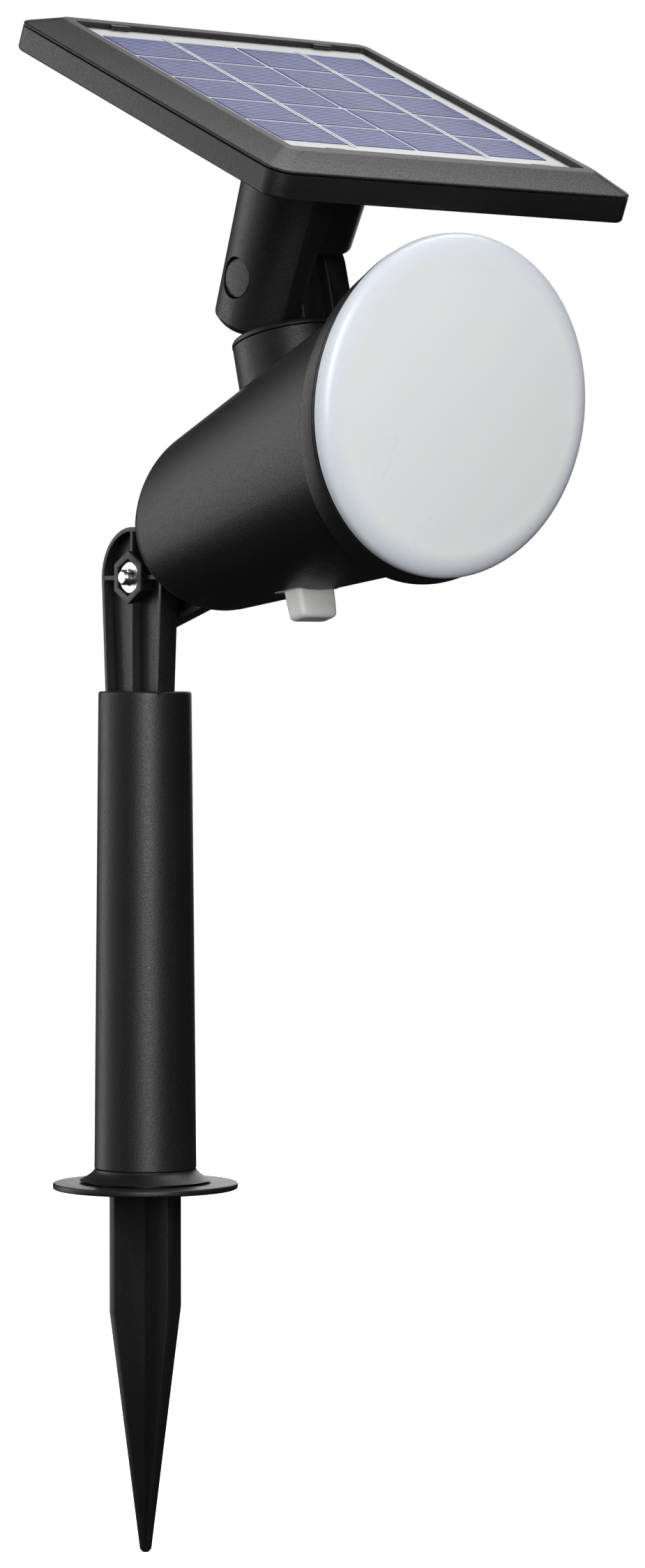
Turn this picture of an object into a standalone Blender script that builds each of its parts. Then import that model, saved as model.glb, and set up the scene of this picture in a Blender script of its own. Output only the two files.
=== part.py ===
"""Solar garden light: a ground spike with a tubular pole, a tilting lamp head with an opal
diffuser, and a solar panel on a swivelling turret and a tilting neck.

World frame: +Z up, the stake axis is the Z axis, the flange underside is z = 0 and the lamp
looks along -Y. Every hinge axis is parallel to X.
"""
from math import asin, cos, hypot, pi, radians, sin

import bmesh
import bpy
from mathutils import Matrix, Vector

MM = 0.001
GAP = 0.3 * MM
SNUG = 0.06 * MM

# ---- stake ----
FLANGE_RADIUS = 23.75 * MM
FLANGE_THICKNESS = 1.6 * MM
FLARE_RADIUS = 16.9 * MM
GROOVE_RADIUS = 14.3 * MM
SPIGOT_RADIUS = 9.6 * MM
SPIGOT_BORE = 7.4 * MM
SPIGOT_TOP = 30.0 * MM
FIN_REACH = 10.7 * MM
FIN_THICKNESS = 2.2 * MM
FIN_STRAIGHT_END = -31.0 * MM
SPIKE_TIP = -93.6 * MM
TIP_REACH = 1.3 * MM

# ---- pole ----
POLE_BOTTOM = 5.2 * MM
POLE_TOP = 127.55 * MM
POLE_RADIUS_BOTTOM = 13.1 * MM
POLE_RADIUS_TOP = 11.93 * MM
POLE_BORE = 10.0 * MM
POLE_CROWN = 9.0 * MM
EAR_OUTER_X = -4.3 * MM
EAR_INNER_X = 1.0 * MM
EAR_RADIUS = 12.9 * MM
EAR_HALF_WIDTH_FOOT = 11.3 * MM
EAR_RIM = 1.1 * MM
EAR_POCKET_DEPTH = 2.4 * MM
EAR_RIB = 1.1 * MM
HEX_BOSS_CORNER = 6.75 * MM
HEX_BOSS_PROUD = 1.2 * MM
NUT_POCKET_CORNER = 4.8 * MM
NUT_POCKET_DEPTH = 3.8 * MM

# ---- M4 hardware ----
BOLT_RADIUS = 2.0 * MM
BOLT_HOLE = 2.35 * MM
BOLT_HEAD_RADIUS = 3.9 * MM
BOLT_HEAD_HEIGHT = 2.6 * MM
SOCKET_CORNER = 1.45 * MM
SOCKET_DEPTH = 1.3 * MM
NUT_CORNER = 4.45 * MM
BOLT_PROUD = 2.4 * MM
NUT_THICKNESS = 3.0 * MM
WASHER_RADIUS = 4.4 * MM
WASHER_THICKNESS = 0.8 * MM

# ---- lamp head: lens frame has x right, y up, z out of the lens ----
HEAD_HINGE = Vector((0.0, 0.0, 156.6)) * MM
LENS_CENTRE = Vector((0.0, -122.2, 195.7)) * MM
LENS_TILT = 95.7
LENS_RADIUS = 41.0 * MM
BEZEL_FRONT_Z = -1.3 * MM
BEZEL_FRONT_RADIUS = 40.9 * MM
BEZEL_FRONT_DROP = -0.5 * MM
BEZEL_REAR_Z = -7.3 * MM
BEZEL_REAR_RADIUS = 40.1 * MM
BEZEL_REAR_DROP = -3.0 * MM
BELL_FRONT = (-3.6 * MM, 39.9 * MM, 35.2 * MM)
BELL_REAR = (-36.25 * MM, 23.1 * MM, 23.05 * MM)
BELL_REAR_Z = -95.5 * MM
BELL_REAR_ROUND = 6.3 * MM
BELL_CHIN_ROUND = 7.5 * MM
BELL_WALL = 2.2 * MM
SKIRT_RADIUS = 37.1 * MM
SKIRT_WALL = 1.9 * MM
SKIRT_DEPTH = 4.5 * MM
DIFFUSER_WALL = 2.0 * MM
DIFFUSER_SHOULDER = (34.0 * MM, 4.0 * MM)
DIFFUSER_CROWN = 5.6 * MM
LED_BOARD_RADIUS = 27.5 * MM
LED_BOARD_DROP = -4.5 * MM
LED_BOARD_Z = -10.6 * MM
LED_BOARD_THICKNESS = 1.6 * MM
LED_COUNT = 8
LED_RING_RADIUS = 17.0 * MM
LED_SIZE = Vector((5.0, 5.0, 1.4)) * MM
POST_RADIUS = 3.2 * MM
POST_SPREAD = 25.0 * MM
CARRIER_RADIUS = 30.8 * MM
CARRIER_BORE = 22.0 * MM
CARRIER_DROP = -7.2 * MM
CARRIER_REAR_Z = -18.0 * MM
CARRIER_THICKNESS = 1.6 * MM
LUG_INNER_X = EAR_INNER_X + GAP
LUG_OUTER_X = 5.6 * MM
LUG_RADIUS = 12.9 * MM

# ---- switch: its frame has z out of the bell, leaning forward of the floor's own normal ----
SWITCH_CENTRE = Vector((0.4, -67.5, 151.9)) * MM
SWITCH_TILT = 165.0
SWITCH_TRAVEL = 1.5 * MM
BUTTON_SIZE = Vector((11.8, 6.6, 0.0)) * MM
BUTTON_PROUD = 6.7 * MM
BUTTON_INSIDE = 4.0 * MM
STEM_END = -6.75 * MM

# ---- floor of the bell: its frame has z out of the underside ----
FLOOR_PLACE = Vector((0.4, -66.25, 152.05)) * MM
FLOOR_TILT = 172.6
SEAL_SIZE = Vector((13.0, 10.5, 0.9)) * MM
SEAL_SINK = 0.4 * MM
SEAL_CORNER = 1.0 * MM
SEAL_HOLE_GAP = 0.2 * MM

# ---- turret ----
TURRET_TILT = -14.8
TURRET_HINGE_HEIGHT = 15.8 * MM
PANEL_HINGE = Vector((0.0, -57.4, 229.2)) * MM
BOSS_RADIUS = 15.0 * MM
BOSS_BORE = 8.4 * MM
BOSS_LEDGE = 6.0 * MM
BOSS_CHAMBER = 12.0 * MM
BOSS_DEPTH = 30.0 * MM
DISC_RADIUS = 15.1 * MM
DISC_TOP = 1.9 * MM
STEM_RADIUS = 8.0 * MM
STEM_BORE = 3.0 * MM
STEM_DEPTH = 10.5 * MM
LUG2_NEAR_X = 3.6 * MM
LUG2_FAR_X = 10.2 * MM
LUG2_RADIUS = 12.8 * MM
HUB_NEAR_X = -3.2 * MM
HUB_RADIUS = 9.5 * MM

# ---- panel: panel frame has y up the slope, z out of the cells ----
PANEL_TILT = 23.4
SEAM_Z = 43.64 * MM
PANEL_SHIFT = 0.9 * MM
PANEL_WIDTH = 110.6 * MM
PANEL_LENGTH = 113.6 * MM
PANEL_CORNER = 5.0 * MM
RIDGE_CORNER = 3.0 * MM
TRAY_DEPTH = 6.15 * MM
TRAY_WALL = 2.0 * MM
RIDGE_WIDTH = 95.7 * MM
RIDGE_LENGTH = 99.6 * MM
BEZEL_HEIGHT = 4.26 * MM
WINDOW_WIDTH = 90.4 * MM
WINDOW_LENGTH = 93.4 * MM
LAMINATE_LAP = 1.7 * MM
TAB_SIZE = Vector((5.8, 0.9, 1.0)) * MM
TAB_X = 31.7 * MM
LAMINATE_TOP = 2.71 * MM
LAMINATE_THICKNESS = 1.8 * MM
CELL_SHIFT = 1.4 * MM
CELL_FIELD = Vector((81.5, 78.0)) * MM
CELL_ROWS = 5
CELL_COLUMNS = 2
COLUMN_GAP = 1.2 * MM
ROW_GAP = 1.2 * MM
CELL_THICKNESS = 0.1 * MM
RIBBON_WIDTH = 2.0 * MM
RIBBON_OVERHANG = 2.0 * MM
RIBBON_THICKNESS = 0.12 * MM
CHEEK_OUTER_X = -15.25 * MM
NECK_SHIFT = -1.05 * MM
NECK_RADIUS_HINGE = 14.45 * MM
NECK_TAPER = 0.052
NECK_BORE = 6.0 * MM
CHEEK_INNER_X = -3.5 * MM
CHEEK_RADIUS = 13.9 * MM
CHEEK_ROUND = (5.5 * MM, 4.0 * MM)
SKIRT_ROUND = 1.8 * MM
LUG_CLEARANCE_RADIUS = 13.2 * MM
SKIRT_END = 11.3 * MM
CAP_RADIUS = 5.2 * MM
CAP_THICKNESS = 1.4 * MM
CAP_SINK = 0.9 * MM
HINGE_HEAD_X = -7.8 * MM

ROUND = 44
SMALL_ROUND = 20

# ============================================================== scene, materials and frames


def clear_scene():
    for obj in list(bpy.data.objects):
        bpy.data.objects.remove(obj, do_unlink=True)


def new_collection(name):
    collection = bpy.data.collections.new(name)
    bpy.context.scene.collection.children.link(collection)
    return collection


clear_scene()
LIGHT = new_collection("solar_garden_light")
CUTTERS = new_collection("cutters")


def material(name, colour, roughness, metallic=0.0):
    made = bpy.data.materials.new(name)
    made.use_nodes = True
    shader = made.node_tree.nodes["Principled BSDF"]
    shader.inputs["Base Color"].default_value = (*colour, 1.0)
    shader.inputs["Roughness"].default_value = roughness
    shader.inputs["Metallic"].default_value = metallic
    made.diffuse_color = (*colour, 1.0)
    return made


BLACK = (0.018, 0.018, 0.019)


def frame(name, place, tilt=0.0, parent=None):
    """An empty at a world place, turned about X by a tilt in degrees."""
    empty = bpy.data.objects.new(name, None)
    LIGHT.objects.link(empty)
    world = Matrix.Translation(place) @ Matrix.Rotation(radians(tilt), 4, "X")
    if parent:
        empty.parent = parent
        world_of_parent = FRAMES[parent.name]
        empty.matrix_basis = world_of_parent.inverted() @ world
    else:
        empty.matrix_basis = world
    FRAMES[name] = world
    return empty


FRAMES = {}
turret_axis = Vector((0.0, -sin(radians(TURRET_TILT)), cos(radians(TURRET_TILT))))
stake_frame = frame("stake_frame", Vector((0.0, 0.0, 0.0)))
head_frame = frame("head_pivot", HEAD_HINGE, 0.0, stake_frame)
lens_frame = frame("lens_axis", LENS_CENTRE, LENS_TILT, head_frame)
switch_frame = frame("switch_axis", SWITCH_CENTRE, SWITCH_TILT, head_frame)
floor_frame = frame("bell_floor", FLOOR_PLACE, FLOOR_TILT, head_frame)
turret_place = PANEL_HINGE - turret_axis * TURRET_HINGE_HEIGHT
turret_frame = frame("turret_axis", turret_place, TURRET_TILT, head_frame)
panel_frame = frame("panel_pivot", PANEL_HINGE, PANEL_TILT, turret_frame)

# ============================================================== modelling helpers


def finish_mesh(bm, name):
    mesh = bpy.data.meshes.new(name)
    bmesh.ops.recalc_face_normals(bm, faces=bm.faces)
    bm.to_mesh(mesh)
    bm.free()
    return mesh


def place_object(name, mesh, parent, finish=None):
    """A named piece in its parent's frame, or a hidden cutter when no finish is given."""
    obj = bpy.data.objects.new(name, mesh)
    if finish:
        LIGHT.objects.link(obj)
        mesh.materials.append(material(name, *finish))
        mesh.shade_smooth()
        mesh.set_sharp_from_angle(angle=radians(35))
    else:
        CUTTERS.objects.link(obj)
        obj.hide_render = True
        obj.display_type = "WIRE"
    obj.parent = parent
    return obj


def box_mesh(name, low, high):
    bm = bmesh.new()
    bmesh.ops.create_cube(bm, size=1.0)
    low, high = Vector(low), Vector(high)
    size, middle = high - low, (high + low) / 2
    for vert in bm.verts:
        vert.co = Vector((vert.co.x * size.x, vert.co.y * size.y, vert.co.z * size.z)) + middle
    return finish_mesh(bm, name)


AXIS_TURN = {
    "X": Matrix.Rotation(pi / 2, 4, "Y"),
    "Y": Matrix.Rotation(-pi / 2, 4, "X"),
    "Z": Matrix.Identity(4),
}


def rod_mesh(name, start, axis, length, radius, end_radius=None, sides=SMALL_ROUND, turn=0.0):
    """A cylinder or cone from a start point, running along +X, +Y or +Z."""
    bm = bmesh.new()
    middle = Matrix.Translation((0.0, 0.0, length / 2)) @ Matrix.Rotation(turn, 4, "Z")
    matrix = Matrix.Translation(start) @ AXIS_TURN[axis] @ middle
    bmesh.ops.create_cone(
        bm, cap_ends=True, segments=sides, radius1=radius,
        radius2=radius if end_radius is None else end_radius, depth=length, matrix=matrix,
    )
    return finish_mesh(bm, name)


def turned_object(name, profile, parent, finish=None, steps=ROUND):
    """A profile of (radius, height) from the top of the axis round the outside, turned about Z."""
    mesh = bpy.data.meshes.new(name)
    points = [(radius, 0.0, height) for radius, height in profile]
    mesh.from_pydata(points, [(i, i + 1) for i in range(len(points) - 1)], [])
    obj = place_object(name, mesh, parent, finish)
    screw = obj.modifiers.new("turn", "SCREW")
    screw.steps = steps
    screw.render_steps = steps
    screw.use_merge_vertices = True
    screw.merge_threshold = 0.00001
    screw.use_smooth_shade = True
    return obj


def closed_profile_object(name, profile, parent, finish=None, steps=ROUND):
    """A ring: a closed profile clear of the axis, given down its outer side first."""
    return turned_object(name, list(profile) + [profile[0]], parent, finish, steps)


def plate_mesh(name, outline, low, high, plane="XY"):
    """A flat outline filled and extruded between two levels along the plane's normal."""
    curve = bpy.data.curves.new(name + "_outline", "CURVE")
    curve.dimensions = "2D"
    curve.fill_mode = "BOTH"
    curve.extrude = (high - low) / 2
    spline = curve.splines.new("POLY")
    spline.points.add(len(outline) - 1)
    for point, (u, v) in zip(spline.points, outline):
        point.co = (u, v, 0.0, 1.0)
    spline.use_cyclic_u = True
    guide = bpy.data.objects.new(name + "_outline", curve)
    bpy.context.scene.collection.objects.link(guide)
    bpy.context.view_layer.update()
    graph = bpy.context.evaluated_depsgraph_get()
    mesh = bpy.data.meshes.new_from_object(guide.evaluated_get(graph))
    bpy.data.objects.remove(guide, do_unlink=True)
    bpy.data.curves.remove(curve)
    mesh.name = name
    bm = bmesh.new()
    bm.from_mesh(mesh)
    bmesh.ops.remove_doubles(bm, verts=bm.verts, dist=0.000001)
    bmesh.ops.recalc_face_normals(bm, faces=bm.faces)
    turn = Matrix(((0, 0, 1, 0), (1, 0, 0, 0), (0, 1, 0, 0), (0, 0, 0, 1)))
    bmesh.ops.translate(bm, verts=bm.verts, vec=(0.0, 0.0, (high + low) / 2))
    if plane == "YZ":
        bmesh.ops.transform(bm, matrix=turn, verts=bm.verts)
    bm.to_mesh(mesh)
    bm.free()
    return mesh


def loft_mesh(name, rings, closed=False):
    """Skins a list of rings of points; the ends are capped, or joined when closed."""
    bm = bmesh.new()
    made = [[bm.verts.new(point) for point in ring] for ring in rings]
    pairs = list(zip(made, made[1:]))
    if closed:
        pairs.append((made[-1], made[0]))
    for first, second in pairs:
        count = len(first)
        for i in range(count):
            j = (i + 1) % count
            bm.faces.new((first[i], first[j], second[j], second[i]))
    if not closed:
        bm.faces.new(made[0])
        bm.faces.new(made[-1])
    return finish_mesh(bm, name)


def ellipse_ring(height, drop, half_width, half_height, sides=ROUND):
    turns = [2 * pi * i / sides for i in range(sides)]
    return [Vector((half_width * cos(t), drop + half_height * sin(t), height)) for t in turns]


def circle(height, drop, radius):
    return ellipse_ring(height, drop, radius, radius)


def rounded_ring(height, width, length, corner, shift=0.0, per_corner=6):
    """A rectangle with round corners, centred on the Z axis plus a shift along y."""
    ring = []
    for quarter in range(4):
        across = (1, -1, -1, 1)[quarter] * (width / 2 - corner)
        along = (1, 1, -1, -1)[quarter] * (length / 2 - corner)
        for step in range(per_corner + 1):
            turn = pi / 2 * (quarter + step / per_corner)
            ring.append(Vector((across + corner * cos(turn), along + corner * sin(turn) + shift, height)))
    return ring


def arc(radius, start, end, steps, middle=(0.0, 0.0)):
    turns = [radians(start + (end - start) * i / steps) for i in range(steps + 1)]
    return [(middle[0] + radius * cos(t), middle[1] + radius * sin(t)) for t in turns]


def boolean(obj, cutter, operation="DIFFERENCE"):
    modifier = obj.modifiers.new(operation.lower(), "BOOLEAN")
    modifier.object = cutter
    modifier.operation = operation
    modifier.solver = "EXACT"
    return obj


def cut_rod(obj, name, start, axis, length, radius, sides=SMALL_ROUND, turn=0.0):
    mesh = rod_mesh(name, start, axis, length, radius, sides=sides, turn=turn)
    return boolean(obj, place_object(name, mesh, obj.parent))


def cut_box(obj, name, low, high):
    return boolean(obj, place_object(name, box_mesh(name, low, high), obj.parent))


def join(obj, name, mesh):
    return boolean(obj, place_object(name, mesh, obj.parent), "UNION")


def bevel_edges(obj, width, segments=2, angle=40):
    modifier = obj.modifiers.new("edges", "BEVEL")
    modifier.width = width
    modifier.segments = segments
    modifier.limit_method = "ANGLE"
    modifier.angle_limit = radians(angle)
    modifier.harden_normals = False
    return obj


# ============================================================== hardware

ZINC = ((0.62, 0.62, 0.6), 0.3, 1.0)
HEX_TURN = pi / 6


def bolt(name, parent, head_x, height, shank, finish):
    """A pan-head bolt along +X: its head's bearing face is at head_x on the hinge axis."""
    profile = [
        (0.0, BOLT_HEAD_HEIGHT),
        (BOLT_HEAD_RADIUS * 0.62, BOLT_HEAD_HEIGHT),
        (BOLT_HEAD_RADIUS * 0.92, BOLT_HEAD_HEIGHT * 0.7),
        (BOLT_HEAD_RADIUS, BOLT_HEAD_HEIGHT * 0.3),
        (BOLT_HEAD_RADIUS, 0.0),
        (BOLT_RADIUS, 0.0),
        (BOLT_RADIUS, -shank + 0.5 * MM),
        (BOLT_RADIUS - 0.5 * MM, -shank),
        (0.0, -shank),
    ]
    obj = turned_object(name, profile, parent, finish, SMALL_ROUND)
    side = -1 if head_x < 0 else 1
    obj.rotation_euler = (0.0, side * pi / 2, 0.0)
    obj.location = (head_x, 0.0, height)
    socket_start = (0.0, 0.0, BOLT_HEAD_HEIGHT - SOCKET_DEPTH)
    socket = rod_mesh(name + "_socket", socket_start, "Z", 3 * MM, SOCKET_CORNER, sides=6)
    cutter = place_object(name + "_socket", socket, parent)
    cutter.matrix_basis = Matrix.Translation(obj.location) @ Matrix.Rotation(side * pi / 2, 4, "Y")
    return boolean(obj, cutter)


def hex_nut(name, parent, start_x, height, finish):
    mesh = rod_mesh(name, (start_x, 0.0, height), "X", NUT_THICKNESS, NUT_CORNER, sides=6, turn=HEX_TURN)
    obj = place_object(name, mesh, parent, finish)
    hole_start = (start_x - 1.0 * MM, 0.0, height)
    return cut_rod(obj, name + "_hole", hole_start, "X", NUT_THICKNESS + 2 * MM, BOLT_RADIUS + 0.15 * MM)


def flat_washer(name, parent, start_x, height, finish):
    mesh = rod_mesh(name, (start_x, 0.0, height), "X", WASHER_THICKNESS, WASHER_RADIUS)
    obj = place_object(name, mesh, parent, finish)
    hole_start = (start_x - 1.0 * MM, 0.0, height)
    return cut_rod(obj, name + "_hole", hole_start, "X", WASHER_THICKNESS + 2 * MM, BOLT_HOLE)



# ============================================================== stake: spike and pole


def ground_spike():
    """Pole socket, flange and a four-finned spike, moulded as one piece."""
    profile = [
        (0.0, 2.6 * MM),
        (SPIGOT_BORE, 2.6 * MM),
        (SPIGOT_BORE, SPIGOT_TOP),
        (SPIGOT_RADIUS - 0.6 * MM, SPIGOT_TOP),
        (SPIGOT_RADIUS, SPIGOT_TOP - 0.8 * MM),
        (SPIGOT_RADIUS, POLE_BOTTOM - GAP),
        (POLE_RADIUS_BOTTOM, POLE_BOTTOM - GAP),
        (POLE_RADIUS_BOTTOM + 1.1 * MM, 4.1 * MM),
        (POLE_RADIUS_BOTTOM + 1.9 * MM, 3.3 * MM),
        (FLARE_RADIUS - 0.3 * MM, 2.4 * MM),
        (FLARE_RADIUS, 2.15 * MM),
        (GROOVE_RADIUS, 2.15 * MM),
        (GROOVE_RADIUS, FLANGE_THICKNESS),
        (FLANGE_RADIUS - 0.3 * MM, FLANGE_THICKNESS),
        (FLANGE_RADIUS, FLANGE_THICKNESS - 0.3 * MM),
        (FLANGE_RADIUS, 0.3 * MM),
        (FLANGE_RADIUS - 0.3 * MM, 0.0),
        (0.0, 0.0),
    ]
    obj = turned_object("ground_spike", profile, stake_frame, (BLACK, 0.55))
    return join(obj, "spike_fins", spike_mesh())


def spike_mesh():
    """A cross of four fins, straight below the flange and then tapering to a blunt tip."""
    levels = [
        (0.8 * MM, FIN_REACH, FIN_THICKNESS / 2),
        (FIN_STRAIGHT_END, FIN_REACH, FIN_THICKNESS / 2),
        (SPIKE_TIP + 0.8 * MM, TIP_REACH, 0.85 * MM),
        (SPIKE_TIP, 0.75 * MM, 0.45 * MM),
    ]
    rings = []
    for height, reach, half in levels:
        corners = [(reach, -half), (reach, half), (half, half)]
        ring = []
        for quarter in range(4):
            turn = Matrix.Rotation(quarter * pi / 2, 2)
            ring += [Vector((*(turn @ Vector(corner)), height)) for corner in corners]
        rings.append(ring)
    return loft_mesh("spike_fins", rings)


def ear_outline(inset=0.0):
    """The ear seen along X, as (y, z): straight sides from the foot, tangent to a round top."""
    foot_z = POLE_TOP - 1.0 * MM
    radius = EAR_RADIUS - inset
    rise = HEAD_HINGE.z - foot_z
    spread = EAR_HALF_WIDTH_FOOT - inset
    lean = asin((radius - spread) / rise) if radius > spread else 0.0
    start = -lean * 180 / pi
    points = arc(radius, start, 180 - start, 22, (0.0, HEAD_HINGE.z))
    return [(-spread, foot_z), (spread, foot_z)] + points


def pole():
    """The tube with its closed crown and the hinge ear that rises from it."""
    def radius_at(z):
        share = (z - POLE_BOTTOM) / (POLE_TOP - POLE_BOTTOM)
        return POLE_RADIUS_BOTTOM + share * (POLE_RADIUS_TOP - POLE_RADIUS_BOTTOM)

    crown = POLE_TOP - POLE_CROWN
    profile = [
        (0.0, POLE_TOP),
        (POLE_RADIUS_TOP - 0.4 * MM, POLE_TOP),
        (POLE_RADIUS_TOP, POLE_TOP - 0.4 * MM),
        (radius_at(crown), crown),
        (POLE_RADIUS_BOTTOM, POLE_BOTTOM + 0.2 * MM),
        (POLE_RADIUS_BOTTOM - 0.2 * MM, POLE_BOTTOM),
        (POLE_BORE, POLE_BOTTOM),
        (POLE_BORE, crown),
        (0.0, crown),
    ]
    obj = turned_object("pole", profile, stake_frame, (BLACK, 0.55))
    ear(obj)
    return obj


def ear(obj):
    """The hinge ear: a pocketed plate with a cross of ribs and a hexagonal nut boss."""
    def stake_plate(name, outline, low, high):
        return plate_mesh(name, outline, low, high, "YZ")

    join(obj, "ear_plate", stake_plate("ear_plate", ear_outline(), EAR_OUTER_X, EAR_INNER_X))
    pocket_floor = EAR_OUTER_X + EAR_POCKET_DEPTH
    pocket = stake_plate("ear_pocket", ear_outline(EAR_RIM), EAR_OUTER_X - 1.0 * MM, pocket_floor)
    pocket_cutter = place_object("ear_pocket", pocket, stake_frame)
    far = 20 * MM
    foot_low, foot_high = POLE_TOP - 5 * MM, POLE_TOP + 0.02 * MM
    cut_box(pocket_cutter, "ear_pocket_foot", (-far, -far, foot_low), (far, far, foot_high))
    boolean(obj, pocket_cutter)
    rib_low, rib_high = EAR_OUTER_X + 0.05 * MM, pocket_floor + 0.5 * MM
    half = EAR_RIB / 2
    upright = box_mesh("ear_rib_upright", (rib_low, -half, POLE_TOP - 1.0 * MM),
                       (rib_high, half, HEAD_HINGE.z + EAR_RADIUS - 0.3 * MM))
    join(obj, "ear_rib_upright", upright)
    reach = EAR_RADIUS - 0.4 * MM
    level_low = (rib_low, -reach, HEAD_HINGE.z - half)
    level = box_mesh("ear_rib_level", level_low, (rib_high, reach, HEAD_HINGE.z + half))
    join(obj, "ear_rib_level", level)
    boss_start = (EAR_OUTER_X - HEX_BOSS_PROUD, 0.0, HEAD_HINGE.z)
    boss_length = HEX_BOSS_PROUD + EAR_POCKET_DEPTH + 0.5 * MM
    boss = rod_mesh("ear_hex_boss", boss_start, "X", boss_length, HEX_BOSS_CORNER, None, 6, HEX_TURN)
    join(obj, "ear_hex_boss", boss)
    pocket_start = (boss_start[0] - 1.0 * MM, 0.0, HEAD_HINGE.z)
    pocket_length = NUT_POCKET_DEPTH + 1.0 * MM
    cut_rod(obj, "nut_pocket", pocket_start, "X", pocket_length, NUT_POCKET_CORNER, 6, HEX_TURN)
    cut_rod(obj, "ear_hole", (-15 * MM, 0.0, HEAD_HINGE.z), "X", 30 * MM, BOLT_HOLE)


ground_spike()
pole()
nut_x = EAR_OUTER_X - HEX_BOSS_PROUD + NUT_POCKET_DEPTH - GAP - NUT_THICKNESS
hex_nut("pivot_nut", stake_frame, nut_x, HEAD_HINGE.z, ZINC)
washer_x = LUG_OUTER_X + GAP
flat_washer("pivot_washer", stake_frame, washer_x, HEAD_HINGE.z, ZINC)
bolt_x = washer_x + WASHER_THICKNESS + GAP
bolt("pivot_bolt", stake_frame, bolt_x, HEAD_HINGE.z, bolt_x - nut_x + BOLT_PROUD, ZINC)

# ============================================================== lamp head


def bell_section(z):
    """(drop, half width, half height) of the outside of the bell at a depth behind the lens."""
    share = (BEZEL_REAR_Z - z) / (BEZEL_REAR_Z - BELL_REAR_Z)
    return [front + share * (rear - front) for front, rear in zip(BELL_FRONT, BELL_REAR)]


def bell_rings(offset, front_z, rear_z, round_depth):
    """Elliptical sections from front to rear, ending in a shoulder that is rounder underneath."""
    turns = [2 * pi * i / ROUND for i in range(ROUND)]
    depths = [round_depth + BELL_CHIN_ROUND * max(0.0, -sin(turn)) ** 1.5 for turn in turns]

    def ring(share, bend):
        """A share of the way along the straight wall, then a bend of up to a quarter turn."""
        points = []
        for turn, depth in zip(turns, depths):
            z = front_z + share * (rear_z + depth - front_z) - depth * sin(bend)
            drop, across, upright = bell_section(z)
            pull = depth * (1 - cos(bend)) + offset
            points.append(Vector(((across - pull) * cos(turn), drop + (upright - pull) * sin(turn), z)))
        return points

    straight = [ring(share, 0.0) for share in (0.0, 0.5, 1.0)]
    return straight + [ring(1.0, pi / 2 * step / 5) for step in range(1, 6)]


def lug_outline():
    """The hinge tongue of the head seen along X, as (y, z): a round end that widens into the bell."""
    round_end = arc(LUG_RADIUS, -90, 100, 20, (0.0, HEAD_HINGE.z))
    bell_side = [(-27, 179), (-38, 182), (-38, 153.6), (-25.8, 149.9), (-5.7, 143.75)]
    return round_end + [(y * MM, z * MM) for y, z in bell_side]


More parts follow.
